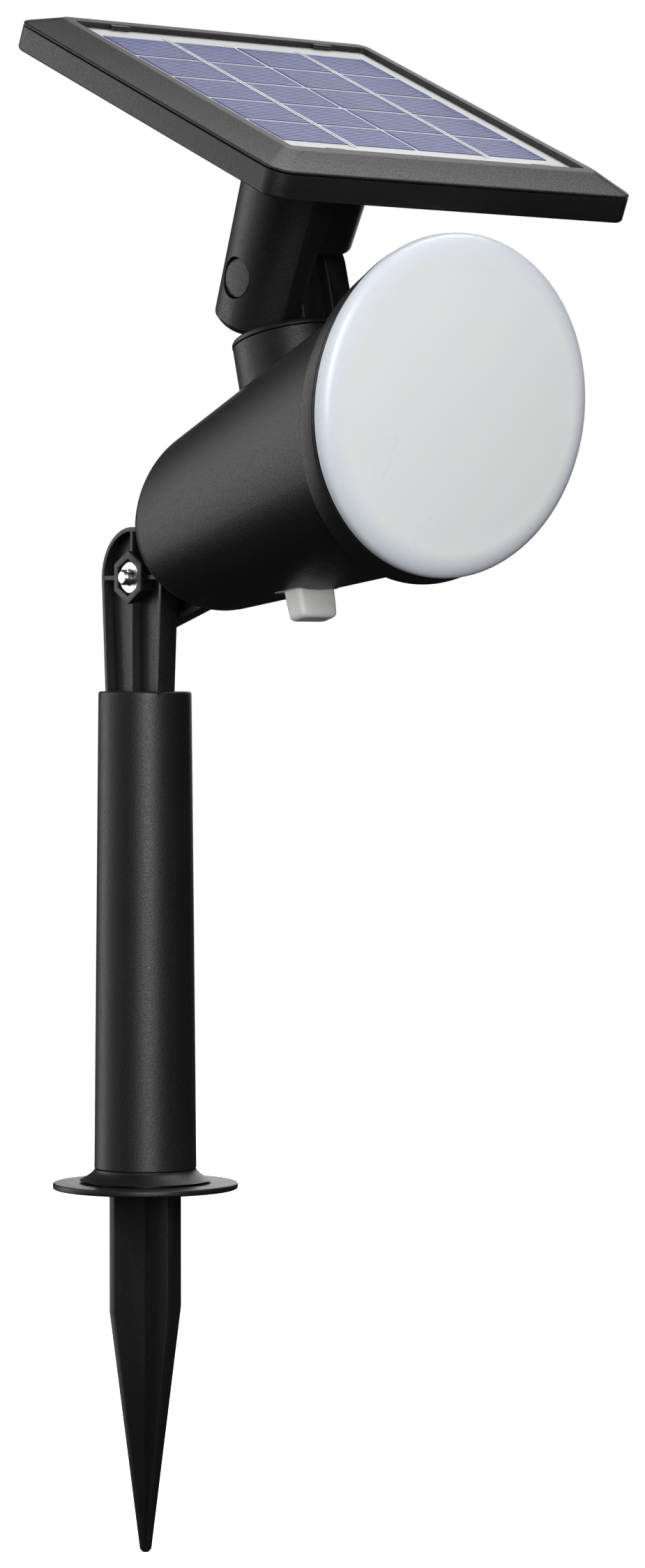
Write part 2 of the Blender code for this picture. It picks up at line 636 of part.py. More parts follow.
def lamp_housing():
    """The bell with its bezel ring, turret boss, hinge tongue and switch pocket."""
    outside = bell_rings(0.0, BEZEL_REAR_Z + 1.0 * MM, BELL_REAR_Z, BELL_REAR_ROUND)
    obj = place_object("lamp_housing", loft_mesh("lamp_housing", outside), lens_frame, (BLACK, 0.5))
    chamfer = 0.3 * MM
    ring = [
        circle(BEZEL_FRONT_Z, BEZEL_FRONT_DROP, BEZEL_FRONT_RADIUS - chamfer),
        circle(BEZEL_FRONT_Z - chamfer, BEZEL_FRONT_DROP, BEZEL_FRONT_RADIUS),
        circle(BEZEL_REAR_Z + chamfer, BEZEL_REAR_DROP, BEZEL_REAR_RADIUS),
        circle(BEZEL_REAR_Z, BEZEL_REAR_DROP, BEZEL_REAR_RADIUS - chamfer),
    ]
    join(obj, "bezel_ring", loft_mesh("bezel_ring", ring))
    boss = rod_mesh("turret_boss", (0.0, 0.0, -BOSS_DEPTH), "Z", BOSS_DEPTH, BOSS_RADIUS, sides=ROUND)
    boolean(obj, place_object("turret_boss", boss, turret_frame), "UNION")
    lug = plate_mesh("head_lug", lug_outline(), LUG_INNER_X, LUG_OUTER_X, "YZ")
    boolean(obj, place_object("head_lug", lug, stake_frame), "UNION")
    cavity = bell_rings(BELL_WALL, BEZEL_REAR_Z + 2.0 * MM, BELL_REAR_Z + 3.2 * MM, 5.0 * MM)
    boolean(obj, place_object("bell_cavity", loft_mesh("bell_cavity", cavity), lens_frame))
    seat_floor = -(SKIRT_DEPTH + 1.1 * MM)
    cut_rod(obj, "lens_seat", (0.0, 0.0, seat_floor), "Z", 9.0 * MM, SKIRT_RADIUS + GAP, sides=ROUND)
    depth = 22 * MM
    chamber = rod_mesh("boss_chamber", (0.0, 0.0, -BOSS_LEDGE - depth), "Z", depth, BOSS_CHAMBER, sides=32)
    boolean(obj, place_object("boss_chamber", chamber, turret_frame))
    bore = rod_mesh("boss_bore", (0.0, 0.0, -15 * MM), "Z", 20 * MM, BOSS_BORE, sides=32)
    boolean(obj, place_object("boss_bore", bore, turret_frame))
    groove = [(12.1 * MM, 1.0 * MM), (12.1 * MM, -1.7 * MM), (9.9 * MM, -1.7 * MM), (9.9 * MM, 1.0 * MM)]
    boolean(obj, closed_profile_object("oring_groove", groove, turret_frame, None, 32))
    half = SEAL_SIZE / 2
    pocket_low = -(SEAL_SINK + SEAL_SIZE.z + GAP)
    pocket_top = (half.x + GAP, half.y + GAP, 8 * MM)
    pocket = box_mesh("seal_pocket", (-half.x - GAP, -half.y - GAP, pocket_low), pocket_top)
    boolean(obj, place_object("seal_pocket", pocket, floor_frame))
    across, along = BUTTON_SIZE.x / 2 + 0.5 * MM, BUTTON_SIZE.y / 2 + 0.5 * MM
    hole = box_mesh("button_hole", (-across, -along, -8 * MM), (across, along, 12 * MM))
    boolean(obj, place_object("button_hole", hole, switch_frame))
    lug_hole = rod_mesh("lug_hole", (-10 * MM, 0.0, HEAD_HINGE.z), "X", 25 * MM, BOLT_HOLE)
    boolean(obj, place_object("lug_hole", lug_hole, stake_frame))
    return obj


def screw_places():
    return [
        (POST_SPREAD, LED_BOARD_DROP, "right"),
        (-POST_SPREAD, LED_BOARD_DROP, "left"),
        (0.0, LED_BOARD_DROP + POST_SPREAD, "top"),
    ]


def led_carrier():
    """A ring behind the LED board with three standoffs, held by the wall of the bell."""
    low, high = CARRIER_REAR_Z, CARRIER_REAR_Z + CARRIER_THICKNESS
    mesh = rod_mesh("led_carrier", (0.0, CARRIER_DROP, low), "Z", high - low, CARRIER_RADIUS, sides=ROUND)
    obj = place_object("led_carrier", mesh, lens_frame, ((0.7, 0.7, 0.69), 0.5))
    cut_rod(obj, "carrier_bore", (0.0, CARRIER_DROP, low - MM), "Z", 10 * MM, CARRIER_BORE, sides=32)
    foot = high - 0.5 * MM
    for x, y, name in screw_places():
        start = (x, y, foot)
        post = rod_mesh("standoff_" + name, start, "Z", LED_BOARD_Z - GAP - foot, POST_RADIUS)
        join(obj, "standoff_" + name, post)
        cut_rod(obj, "standoff_hole_" + name, (x, y, low - 2 * MM), "Z", 14 * MM, 1.4 * MM, sides=12)
    return obj


def diffuser_profile():
    """Outer crown and shoulder, down the skirt, and back up the inside."""
    shoulder_r, shoulder_z = DIFFUSER_SHOULDER
    rim_z = 0.6 * MM
    outer = [(0.0, DIFFUSER_CROWN)]
    outer += [(shoulder_r * s, DIFFUSER_CROWN - (DIFFUSER_CROWN - shoulder_z) * s * s) for s in (0.5, 1.0)]
    for step in range(1, 4):
        turn = pi / 2 * step / 3
        outer.append((
            shoulder_r + (LENS_RADIUS - shoulder_r) * sin(turn),
            rim_z + (shoulder_z - rim_z) * cos(turn),
        ))
    inner_r = SKIRT_RADIUS - SKIRT_WALL
    skirt = [
        (LENS_RADIUS, -0.5 * MM), (SKIRT_RADIUS, -0.5 * MM), (SKIRT_RADIUS, -SKIRT_DEPTH),
        (inner_r, -SKIRT_DEPTH), (inner_r, -0.2 * MM),
    ]
    inner = [(shoulder_r * s, DIFFUSER_CROWN - DIFFUSER_WALL - (DIFFUSER_CROWN - shoulder_z) * s * s)
             for s in (1.0, 0.5)]
    return outer + skirt + inner + [(0.0, DIFFUSER_CROWN - DIFFUSER_WALL)]


def reflector():
    """A white funnel between the diffuser skirt and the LED board."""
    front, rear = 34.9 * MM, 28.6 * MM
    front_z, rear_z, wall = -0.9 * MM, -8.6 * MM, 1.1 * MM
    rings = [
        ellipse_ring(front_z, 0.0, front, front),
        ellipse_ring(rear_z, LED_BOARD_DROP, rear, rear),
        ellipse_ring(rear_z, LED_BOARD_DROP, rear - wall, rear - wall),
        ellipse_ring(front_z, 0.0, front - wall, front - wall),
    ]
    cone = loft_mesh("light_reflector", rings, True)
    return place_object("light_reflector", cone, lens_frame, ((0.9, 0.9, 0.9), 0.4))


def led_board():
    base = (0.0, LED_BOARD_DROP, LED_BOARD_Z)
    mesh = rod_mesh("led_board", base, "Z", LED_BOARD_THICKNESS, LED_BOARD_RADIUS, sides=ROUND)
    obj = place_object("led_board", mesh, lens_frame, ((0.85, 0.85, 0.83), 0.45))
    for x, y, name in screw_places():
        cut_rod(obj, "board_hole_" + name, (x, y, LED_BOARD_Z - MM), "Z", 4 * MM, 1.7 * MM, sides=12)
    return obj


def led_chips():
    face = LED_BOARD_Z + LED_BOARD_THICKNESS + SNUG
    for index in range(LED_COUNT):
        turn = 2 * pi * (index + 0.5) / LED_COUNT
        x, y = LED_RING_RADIUS * cos(turn), LED_RING_RADIUS * sin(turn) + LED_BOARD_DROP
        half = LED_SIZE / 2
        name = f"led_chip_{index + 1}"
        mesh = box_mesh(name, (x - half.x, y - half.y, face), (x + half.x, y + half.y, face + LED_SIZE.z))
        bevel_edges(place_object(name, mesh, lens_frame, ((0.95, 0.85, 0.35), 0.35)), 0.25 * MM, 1)


def board_screws():
    seat = LED_BOARD_Z + LED_BOARD_THICKNESS + SNUG
    for x, y, name in screw_places():
        profile = [
            (0.0, 1.6 * MM), (1.3 * MM, 1.6 * MM), (2.5 * MM, 1.0 * MM), (2.7 * MM, 0.0),
            (1.1 * MM, 0.0), (1.1 * MM, -8.0 * MM), (0.4 * MM, -9.0 * MM), (0.0, -9.0 * MM),
        ]
        obj = turned_object("board_screw_" + name, profile, lens_frame, ZINC, 12)
        obj.location = (x, y, seat)


lamp_housing()
turned_object("diffuser_lens", diffuser_profile(), lens_frame, ((0.86, 0.87, 0.88), 0.3), 48)
gasket = [(40.6 * MM, -0.6 * MM), (40.6 * MM, -1.15 * MM), (39.6 * MM, -1.15 * MM), (39.6 * MM, -0.6 * MM)]
closed_profile_object("lens_gasket", gasket, lens_frame, ((0.01, 0.01, 0.01), 0.8))
reflector()
led_carrier()
led_board()
led_chips()
board_screws()

# ============================================================== inside the bell

BATTERY_RADIUS = 9.2 * MM
BATTERY_LENGTH = 65.0 * MM
BATTERY_START = Vector((0.0, 1.5, -19.0)) * MM
BATTERY_SLOPE = 20.4
CRADLE_WALL = 1.4 * MM
BOARD_SIZE = Vector((27.0, 38.0, 1.6)) * MM
BOARD_DEPTH = -13.0 * MM
BOARD_SHIFT = 1.0 * MM


def battery_frame():
    """Axis of the cell: z runs from its positive end back and down through the bell."""
    lens_world = FRAMES[lens_frame.name]
    place = lens_world @ BATTERY_START
    return frame("battery_axis", place, LENS_TILT + 180 - BATTERY_SLOPE, lens_frame)


cell_frame = battery_frame()


def battery_cell():
    top = BATTERY_LENGTH
    profile = [
        (0.0, top), (BATTERY_RADIUS - 1.0 * MM, top), (BATTERY_RADIUS, top - 0.8 * MM),
        (BATTERY_RADIUS, 2.0 * MM), (BATTERY_RADIUS - 0.7 * MM, 1.2 * MM),
        (3.2 * MM, 1.2 * MM), (3.2 * MM, 0.0), (0.0, 0.0),
    ]
    turned_object("battery_cell", profile, cell_frame, ((0.05, 0.22, 0.5), 0.35), 32)


def battery_cradle():
    """A half-round tray with end walls, open towards the top of the bell."""
    inner = BATTERY_RADIUS + GAP
    outer = inner + CRADLE_WALL
    end = BATTERY_LENGTH + 2.2 * MM
    mesh = rod_mesh("battery_cradle", (0.0, 0.0, -2.2 * MM), "Z", end + 2.2 * MM, outer, sides=32)
    obj = place_object("battery_cradle", mesh, cell_frame, ((0.05, 0.05, 0.05), 0.5))
    cut_rod(obj, "cradle_bore", (0.0, 0.0, -0.8 * MM), "Z", BATTERY_LENGTH + 1.6 * MM, inner, sides=32)
    cut_box(obj, "cradle_mouth", (-20 * MM, 1.0 * MM, -10 * MM), (20 * MM, 20 * MM, end + 10 * MM))
    return obj


def control_board():
    low = (-BOARD_SIZE.x / 2, -BOARD_SIZE.y / 2 + BOARD_SHIFT, BOARD_DEPTH - BOARD_SIZE.z)
    high = (BOARD_SIZE.x / 2, BOARD_SIZE.y / 2 + BOARD_SHIFT, BOARD_DEPTH)
    sheet = box_mesh("control_board", low, high)
    place_object("control_board", sheet, floor_frame, ((0.03, 0.2, 0.08), 0.4))
    face = BOARD_DEPTH + SNUG
    body = box_mesh("tact_switch", (-3 * MM, -3 * MM, face), (3 * MM, 3 * MM, face + 3.4 * MM))
    obj = place_object("tact_switch", body, floor_frame, ((0.03, 0.03, 0.03), 0.4))
    plunger_base = (0.0, 0.0, face + 3.0 * MM)
    plunger = rod_mesh("tact_plunger", plunger_base, "Z", 1.6 * MM, 1.75 * MM, sides=12)
    join(obj, "tact_plunger", plunger)
    chip_low = (-5 * MM, 8 * MM, face)
    chip = box_mesh("charge_controller", chip_low, (0.0, 12 * MM, face + 1.6 * MM))
    place_object("charge_controller", chip, floor_frame, ((0.02, 0.02, 0.02), 0.3))
    coil = rod_mesh("boost_inductor", (6.5 * MM, -12 * MM, face), "Z", 3.2 * MM, 3.0 * MM, sides=16)
    inductor = place_object("boost_inductor", coil, floor_frame, ((0.08, 0.08, 0.08), 0.5))
    bevel_edges(inductor, 0.5 * MM, 1)
    plug = box_mesh("panel_connector", (-11 * MM, -16 * MM, face), (-5 * MM, -10 * MM, face + 4.5 * MM))
    place_object("panel_connector", plug, floor_frame, ((0.85, 0.84, 0.78), 0.5))


def switch_pieces():
    """A silicone button through a flat seal that sits in the pocket under the bell."""
    corner = 1.4 * MM
    seal_top = -SEAL_SINK
    seal_low = seal_top - SEAL_SIZE.z
    shift = (FRAMES["bell_floor"].inverted() @ SWITCH_CENTRE).y
    hole = [BUTTON_SIZE.x + 2 * SEAL_HOLE_GAP, BUTTON_SIZE.y + 2 * SEAL_HOLE_GAP]
    chamfer = 0.3 * MM

    def rim_ring(height, inset):
        return rounded_ring(height, SEAL_SIZE.x - inset, SEAL_SIZE.y - inset, SEAL_CORNER, 0.0, 4)

    def hole_ring(height):
        return rounded_ring(height, hole[0], hole[1], corner, shift, 4)

    rings = [
        rim_ring(seal_top, 2 * chamfer),
        rim_ring(seal_top - chamfer, 0.0),
        rim_ring(seal_low, 0.0),
        hole_ring(seal_low),
        hole_ring(seal_top),
    ]
    silicone = ((0.75, 0.76, 0.76), 0.45)
    place_object("switch_seal", loft_mesh("switch_seal", rings, True), floor_frame, silicone)

    def body_ring(height, across, along, rounding):
        return rounded_ring(height, BUTTON_SIZE.x - across, BUTTON_SIZE.y - along, rounding, 0.0, 4)

    body = [
        body_ring(-BUTTON_INSIDE, 0.0, 0.0, corner),
        body_ring(BUTTON_PROUD - 1.4 * MM, 0.9 * MM, 0.7 * MM, corner),
        body_ring(BUTTON_PROUD - 0.4 * MM, 1.7 * MM, 1.5 * MM, 1.2 * MM),
        body_ring(BUTTON_PROUD, 3.2 * MM, 2.9 * MM, 0.9 * MM),
    ]
    obj = place_object("switch_button", loft_mesh("switch_button", body), switch_frame, silicone)
    stem_length = -BUTTON_INSIDE - STEM_END + 0.5 * MM
    stem = rod_mesh("button_stem", (0.0, 0.0, STEM_END), "Z", stem_length, 1.8 * MM, sides=12)
    join(obj, "button_stem", stem)


def lead(name, points, parent, colour, radius=0.75):
    """A round wire through points in its parent's frame, smoothed as one curve."""
    route = smooth_route([Vector(point) * MM for point in points])
    curve = bpy.data.curves.new(name, "CURVE")
    curve.dimensions = "3D"
    curve.bevel_depth = radius * MM
    curve.bevel_resolution = 2
    curve.use_fill_caps = True
    spline = curve.splines.new("POLY")
    spline.points.add(len(route) - 1)
    for point, place in zip(spline.points, route):
        point.co = (*place, 1.0)
    curve.materials.append(material(name, colour, 0.5))
    obj = bpy.data.objects.new(name, curve)
    LIGHT.objects.link(obj)
    obj.parent = parent
    return obj


def smooth_route(points, per_span=4):
    """Catmull-Rom points through the given ones."""
    padded = [points[0]] + points + [points[-1]]
    route = []
    for a, b, c, d in zip(padded, padded[1:], padded[2:], padded[3:]):
        for step in range(per_span):
            t = step / per_span
            route.append(0.5 * (2 * b + (c - a) * t + (2 * a - 5 * b + 4 * c - d) * t * t
                                + (3 * b - a - 3 * c + d) * t ** 3))
    return route + [points[-1]]


battery_cell()
battery_cradle()
control_board()
switch_pieces()

# ============================================================== turret


def turret():
    """The swivelling disc with its stem in the boss and the hinge lug above."""
    profile = [
        (0.0, DISC_TOP),
        (DISC_RADIUS - 0.3 * MM, DISC_TOP),
        (DISC_RADIUS, DISC_TOP - 0.3 * MM),
        (DISC_RADIUS, GAP),
        (STEM_RADIUS, GAP),
        (STEM_RADIUS, -STEM_DEPTH),
        (0.0, -STEM_DEPTH),
    ]
    obj = turned_object("turret", profile, turret_frame, (BLACK, 0.55))
    lug = plate_mesh("turret_lug", knuckle_outline(LUG2_RADIUS), LUG2_NEAR_X, LUG2_FAR_X, "YZ")
    join(obj, "turret_lug", lug)
    hub = plate_mesh("turret_hub", knuckle_outline(HUB_RADIUS), HUB_NEAR_X, LUG2_NEAR_X + 0.5 * MM, "YZ")
    join(obj, "turret_hub", hub)
    cut_rod(obj, "turret_hole", (-10 * MM, 0.0, TURRET_HINGE_HEIGHT), "X", 30 * MM, BOLT_HOLE)
    cut_rod(obj, "stem_bore", (0.0, 0.0, -STEM_DEPTH - MM), "Z", STEM_DEPTH - 1.0 * MM, STEM_BORE)
    return obj


def knuckle_outline(radius):
    """A round-topped lug standing on the disc, as (y, z) in the turret frame."""
    foot = DISC_TOP - 0.6 * MM
    return [(-radius, foot), (radius, foot)] + arc(radius, 0, 180, 18, (0.0, TURRET_HINGE_HEIGHT))


turret()
oring = [(11.0 * MM + 0.75 * MM * cos(t), -0.85 * MM + 0.75 * MM * sin(t))
         for t in [pi / 2 - 2 * pi * i / 6 for i in range(6)]]
closed_profile_object("turret_oring", oring, turret_frame, ((0.01, 0.01, 0.01), 0.7), 24)
retainer = [(11.0 * MM, -6.4 * MM), (11.0 * MM, -8.2 * MM), (8.15 * MM, -8.2 * MM), (8.15 * MM, -6.4 * MM)]
closed_profile_object("turret_retainer", retainer, turret_frame, ((0.6, 0.6, 0.58), 0.4), 32)

# ============================================================== solar panel


def tray():
    """Shallow tray with the neck below it, and the near cheek of the panel hinge."""
    def ring(height, inset, corner):
        width, length = PANEL_WIDTH - 2 * inset, PANEL_LENGTH - 2 * inset
        return rounded_ring(SEAM_Z + height, width, length, corner, PANEL_SHIFT)

    inner_corner = PANEL_CORNER - TRAY_WALL
    rings = [
        ring(-TRAY_DEPTH, 0.5 * MM, PANEL_CORNER - 0.5 * MM),
        ring(-TRAY_DEPTH + 0.5 * MM, 0.0, PANEL_CORNER),
        ring(0.0, 0.0, PANEL_CORNER),
        ring(0.0, TRAY_WALL, inner_corner),
        ring(-TRAY_DEPTH + TRAY_WALL, TRAY_WALL, inner_corner),
    ]
    obj = place_object("panel_tray", loft_mesh("panel_tray", rings), panel_frame, (BLACK, 0.6))
    floor = SEAM_Z - TRAY_DEPTH
    boolean(obj, neck(floor + 1.0 * MM), "UNION")
    for x in (-36 * MM, 36 * MM):
        for y in (-34 * MM, 36 * MM):
            name = f"tray_post_{'r' if x > 0 else 'l'}{'b' if y > 0 else 'f'}"
            top = SEAM_Z + LAMINATE_TOP - LAMINATE_THICKNESS - GAP
            low = floor + 0.5 * MM
            join(obj, name, rod_mesh(name, (x, y, low), "Z", top - low, 3.0 * MM, sides=16))
    cut_rod(obj, "neck_bore", (0.0, 0.0, 12 * MM), "Z", 40 * MM, NECK_BORE, sides=24)
    return obj


def neck(top):
    """A tapering column whose skirt ends over the turret, and the cheek that reaches the hinge."""
    far = 20 * MM

    def radius_at(z):
        return NECK_RADIUS_HINGE + NECK_TAPER * z

    end = SKIRT_END
    skirt = [(0.0, top), (radius_at(top), top), (radius_at(end), end + SKIRT_ROUND)]
    skirt += arc(SKIRT_ROUND, 0, -90, 4, (radius_at(end) - SKIRT_ROUND, end + SKIRT_ROUND))[1:]
    skirt.append((0.0, end))
    obj = turned_object("neck_column", skirt, panel_frame)
    obj.location.x = NECK_SHIFT
    swing = rod_mesh("lug_swing", (CHEEK_INNER_X, 0.0, 0.0), "X", 30 * MM, LUG_CLEARANCE_RADIUS, sides=ROUND)
    boolean(obj, place_object("lug_swing", swing, panel_frame))
    boolean(obj, cheek(radius_at, top, far), "UNION")
    cap_recess = rod_mesh("cap_recess", (-far, 0.0, 0.0), "X", far + HINGE_HEAD_X, CAP_RADIUS, sides=32)
    boolean(obj, place_object("cap_recess", cap_recess, panel_frame))
    bolt_hole = rod_mesh("neck_bolt_hole", (-25 * MM, 0.0, 0.0), "X", 40 * MM, BOLT_HOLE)
    boolean(obj, place_object("neck_bolt_hole", bolt_hole, panel_frame))
    return obj


def cheek(radius_at, top, far):
    """The near side of the column carried down past the hinge, with a round, softened end."""
    low = -18 * MM
    start = (NECK_SHIFT, 0.0, low)
    high = top - MM
    column = rod_mesh("cheek", start, "Z", high - low, radius_at(low), radius_at(high), sides=ROUND)
    obj = place_object("cheek", column, panel_frame)
    along, inward = CHEEK_ROUND
    end = [(0.0, far), (CHEEK_RADIUS, far)]
    for step in range(6):
        turn = pi / 2 * (1 - step / 5)
        end.append((CHEEK_RADIUS - inward * (1 - sin(turn)), -along * cos(turn)))
    end.append((0.0, -along))
    ball = turned_object("cheek_end", end, panel_frame)
    place = Matrix.Translation((CHEEK_OUTER_X + along, 0.0, 0.0))
    ball.matrix_basis = place @ Matrix.Rotation(pi / 2, 4, "Y")
    above = box_mesh("cheek_above", (-far, -far, 0.0), (far, far, top + 5 * MM))
    boolean(ball, place_object("cheek_above", above, panel_frame), "UNION")
    boolean(obj, ball, "INTERSECT")
    inner = box_mesh("cheek_inner", (CHEEK_INNER_X, -far, low - MM), (far, far, top + MM))
    boolean(obj, place_object("cheek_inner", inner, panel_frame))
    return obj


def bezel():
    """The frame over the cells: a chamfered border round the window, with four snap tabs."""
    base, ridge = SEAM_Z + GAP, SEAM_Z + BEZEL_HEIGHT
    lip = SEAM_Z + LAMINATE_TOP + GAP
    lap = 2 * LAMINATE_LAP + 1.0 * MM
    cover_w, cover_l = WINDOW_WIDTH + lap, WINDOW_LENGTH + lap

    def ring(height, width, length, rounding):
        return rounded_ring(height, width, length, rounding, PANEL_SHIFT)

    def edge(height, inset):
        return ring(height, PANEL_WIDTH - 2 * inset, PANEL_LENGTH - 2 * inset, PANEL_CORNER - inset)

    rings = [
        edge(base, 0.15 * MM),
        edge(base + 0.3 * MM, 0.0),
        edge(base + 0.65 * MM, 0.45 * MM),
        ring(ridge, RIDGE_WIDTH, RIDGE_LENGTH, RIDGE_CORNER),
        ring(ridge, WINDOW_WIDTH, WINDOW_LENGTH, 0.8 * MM),
        ring(lip, WINDOW_WIDTH, WINDOW_LENGTH, 0.8 * MM),
        ring(lip - 0.02 * MM, cover_w, cover_l, 0.8 * MM),
        ring(base, cover_w + 0.4 * MM, cover_l + 0.4 * MM, 0.8 * MM),
    ]
    obj = place_object("panel_bezel", loft_mesh("panel_bezel", rings, True), panel_frame, (BLACK, 0.6))
    half = TAB_SIZE / 2
    for end in (-1, 1):
        wall = PANEL_SHIFT + end * WINDOW_LENGTH / 2
        ends = sorted((wall - end * TAB_SIZE.y, wall + end * 0.8 * MM))
        for side in (-1, 1):
            name = f"snap_tab_{'b' if end > 0 else 'f'}{'r' if side > 0 else 'l'}"
            low = (side * TAB_X - half.x, ends[0], lip + 0.1 * MM)
            high = (side * TAB_X + half.x, ends[1], lip + 0.1 * MM + TAB_SIZE.z)
            join(obj, name, box_mesh(name, low, high))
    return obj


def laminate():
    top = SEAM_Z + LAMINATE_TOP
    size = Vector((WINDOW_WIDTH + 2 * LAMINATE_LAP, WINDOW_LENGTH + 2 * LAMINATE_LAP))
    rings = [
        rounded_ring(top - LAMINATE_THICKNESS, size.x, size.y, 0.8 * MM, PANEL_SHIFT, 2),
        rounded_ring(top, size.x, size.y, 0.8 * MM, PANEL_SHIFT, 2),
    ]
    sheet = loft_mesh("solar_backsheet", rings)
    place_object("solar_backsheet", sheet, panel_frame, ((0.82, 0.83, 0.82), 0.3))
    base = top - LAMINATE_THICKNESS - SNUG
    block = box_mesh("junction_terminal", (-7 * MM, -16 * MM, base - 3.4 * MM), (7 * MM, -8 * MM, base))
    place_object("junction_terminal", block, panel_frame, ((0.05, 0.05, 0.05), 0.5))


def cells():
    """Two columns of five cells, each column with one pair of bus ribbons on top."""
    base = SEAM_Z + LAMINATE_TOP + SNUG
    width = (CELL_FIELD.x - COLUMN_GAP * (CELL_COLUMNS - 1)) / CELL_COLUMNS
    length = (CELL_FIELD.y - ROW_GAP * (CELL_ROWS - 1)) / CELL_ROWS
    middle = PANEL_SHIFT + CELL_SHIFT
    for column in range(CELL_COLUMNS):
        left = -CELL_FIELD.x / 2 + column * (width + COLUMN_GAP)
        for row in range(CELL_ROWS):
            front = middle - CELL_FIELD.y / 2 + row * (length + ROW_GAP)
            name = f"solar_cell_{column * CELL_ROWS + row + 1}"
            mesh = box_mesh(name, (left, front, base), (left + width, front + length, base + CELL_THICKNESS))
            place_object(name, mesh, panel_frame, ((0.06, 0.08, 0.25), 0.25))
        ribbon_low = base + CELL_THICKNESS + SNUG
        reach = CELL_FIELD.y / 2 + RIBBON_OVERHANG
        centre = left + width / 2
        name = f"bus_ribbon_{column + 1}"
        mesh = box_mesh(name, (centre - RIBBON_WIDTH / 2, middle - reach, ribbon_low),
                        (centre + RIBBON_WIDTH / 2, middle + reach, ribbon_low + RIBBON_THICKNESS))
        place_object(name, mesh, panel_frame, ((0.75, 0.75, 0.74), 0.3, 1.0))


def cap():
    """The plug that hides the head of the panel hinge bolt, just below the cheek's surface."""
    outer_x = CHEEK_OUTER_X + CAP_SINK
    mesh = rod_mesh("hinge_cap", (outer_x, 0.0, 0.0), "X", CAP_THICKNESS, CAP_RADIUS - GAP, sides=32)
    bevel_edges(place_object("hinge_cap", mesh, panel_frame, (BLACK, 0.6)), 0.25 * MM, 1)


tray()
bezel()
laminate()
cells()
cap()
hinge_shank = LUG2_FAR_X + WASHER_THICKNESS + NUT_THICKNESS + 9.4 * MM
bolt("hinge_bolt", panel_frame, HINGE_HEAD_X - GAP, 0.0, hinge_shank, ZINC)
flat_washer("hinge_washer", panel_frame, LUG2_FAR_X + GAP, 0.0, ZINC)
hex_nut("hinge_nut", panel_frame, LUG2_FAR_X + 2 * GAP + WASHER_THICKNESS, 0.0, ZINC)

# ============================================================== internal leads

RED = (0.5, 0.02, 0.02)
DARK = (0.02, 0.02, 0.02)
lead("panel_lead", [(0, -7.5, 42.5), (0, -4.4, 42.2), (0, -2, 40), (0, -0.6, 35), (0, 0, 28), (0, 0, 17)],
     panel_frame, DARK, 1.0)
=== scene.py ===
from math import asin, cos, degrees, pi, radians, sin

import bmesh
import bpy
from mathutils import Matrix, Vector


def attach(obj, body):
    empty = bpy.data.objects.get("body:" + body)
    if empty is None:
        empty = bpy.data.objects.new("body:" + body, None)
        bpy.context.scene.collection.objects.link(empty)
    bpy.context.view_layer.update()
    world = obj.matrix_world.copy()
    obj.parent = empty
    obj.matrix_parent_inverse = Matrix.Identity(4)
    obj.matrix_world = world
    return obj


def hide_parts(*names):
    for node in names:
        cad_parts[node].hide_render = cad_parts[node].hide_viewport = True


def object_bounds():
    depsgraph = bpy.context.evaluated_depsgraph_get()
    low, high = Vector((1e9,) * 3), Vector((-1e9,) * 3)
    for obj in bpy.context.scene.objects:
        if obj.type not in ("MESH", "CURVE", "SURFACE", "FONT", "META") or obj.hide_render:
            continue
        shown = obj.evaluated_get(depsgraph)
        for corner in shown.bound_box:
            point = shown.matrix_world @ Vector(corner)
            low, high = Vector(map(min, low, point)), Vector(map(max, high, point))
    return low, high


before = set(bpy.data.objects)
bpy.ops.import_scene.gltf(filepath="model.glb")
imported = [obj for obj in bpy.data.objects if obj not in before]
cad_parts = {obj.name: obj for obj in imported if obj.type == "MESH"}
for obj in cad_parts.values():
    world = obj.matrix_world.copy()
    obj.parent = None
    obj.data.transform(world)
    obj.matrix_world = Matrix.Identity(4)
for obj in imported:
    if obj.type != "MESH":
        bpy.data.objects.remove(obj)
CAD_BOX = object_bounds()

# Every size below is in millimetres. The sizes follow the CAD model, except that the neck with its
# cheek is about 0.1 mm slimmer and the bus ribbons are narrower. A piece is built in the frame of
# its own axis and is scaled to metres when it is finished.
MM = 0.001
GAP = 0.3
ROUND = 128
SMALL_ROUND = 48
MEDIUM_ROUND = 64
LENS_ROUND = 192

# ---- stake ----
FLANGE_RADIUS = 23.75
FLANGE_THICKNESS = 1.6
FLARE_RADIUS = 16.9
FLARE_LOW = 2.4
GROOVE_RADIUS = 14.3
GROOVE_TOP = 2.15
SPIGOT_RADIUS = 9.6
SPIGOT_BORE = 7.4
SPIGOT_TOP = 30.0
SPIGOT_FLOOR = 2.6
FIN_REACH = 10.7
FIN_THICKNESS = 2.2
FIN_STRAIGHT_END = -31.0
SPIKE_TIP = -93.6
TIP_REACH = 1.3
POLE_BOTTOM = 5.2
SEAT_TOP = POLE_BOTTOM - 0.1
POLE_TOP = 127.55
POLE_RADIUS_BOTTOM = 13.1
POLE_RADIUS_TOP = 11.93
POLE_BORE = 10.0
POLE_CROWN = 9.0
EAR_OUTER_X = -4.3
EAR_INNER_X = 1.0
EAR_RADIUS = 12.9
EAR_HALF_WIDTH_FOOT = 11.3
EAR_RIM = 1.1
EAR_POCKET_DEPTH = 2.4
EAR_RIB = 1.1
HEX_BOSS_CORNER = 6.75
HEX_BOSS_PROUD = 1.2
NUT_POCKET_CORNER = 4.8
NUT_POCKET_DEPTH = 3.8

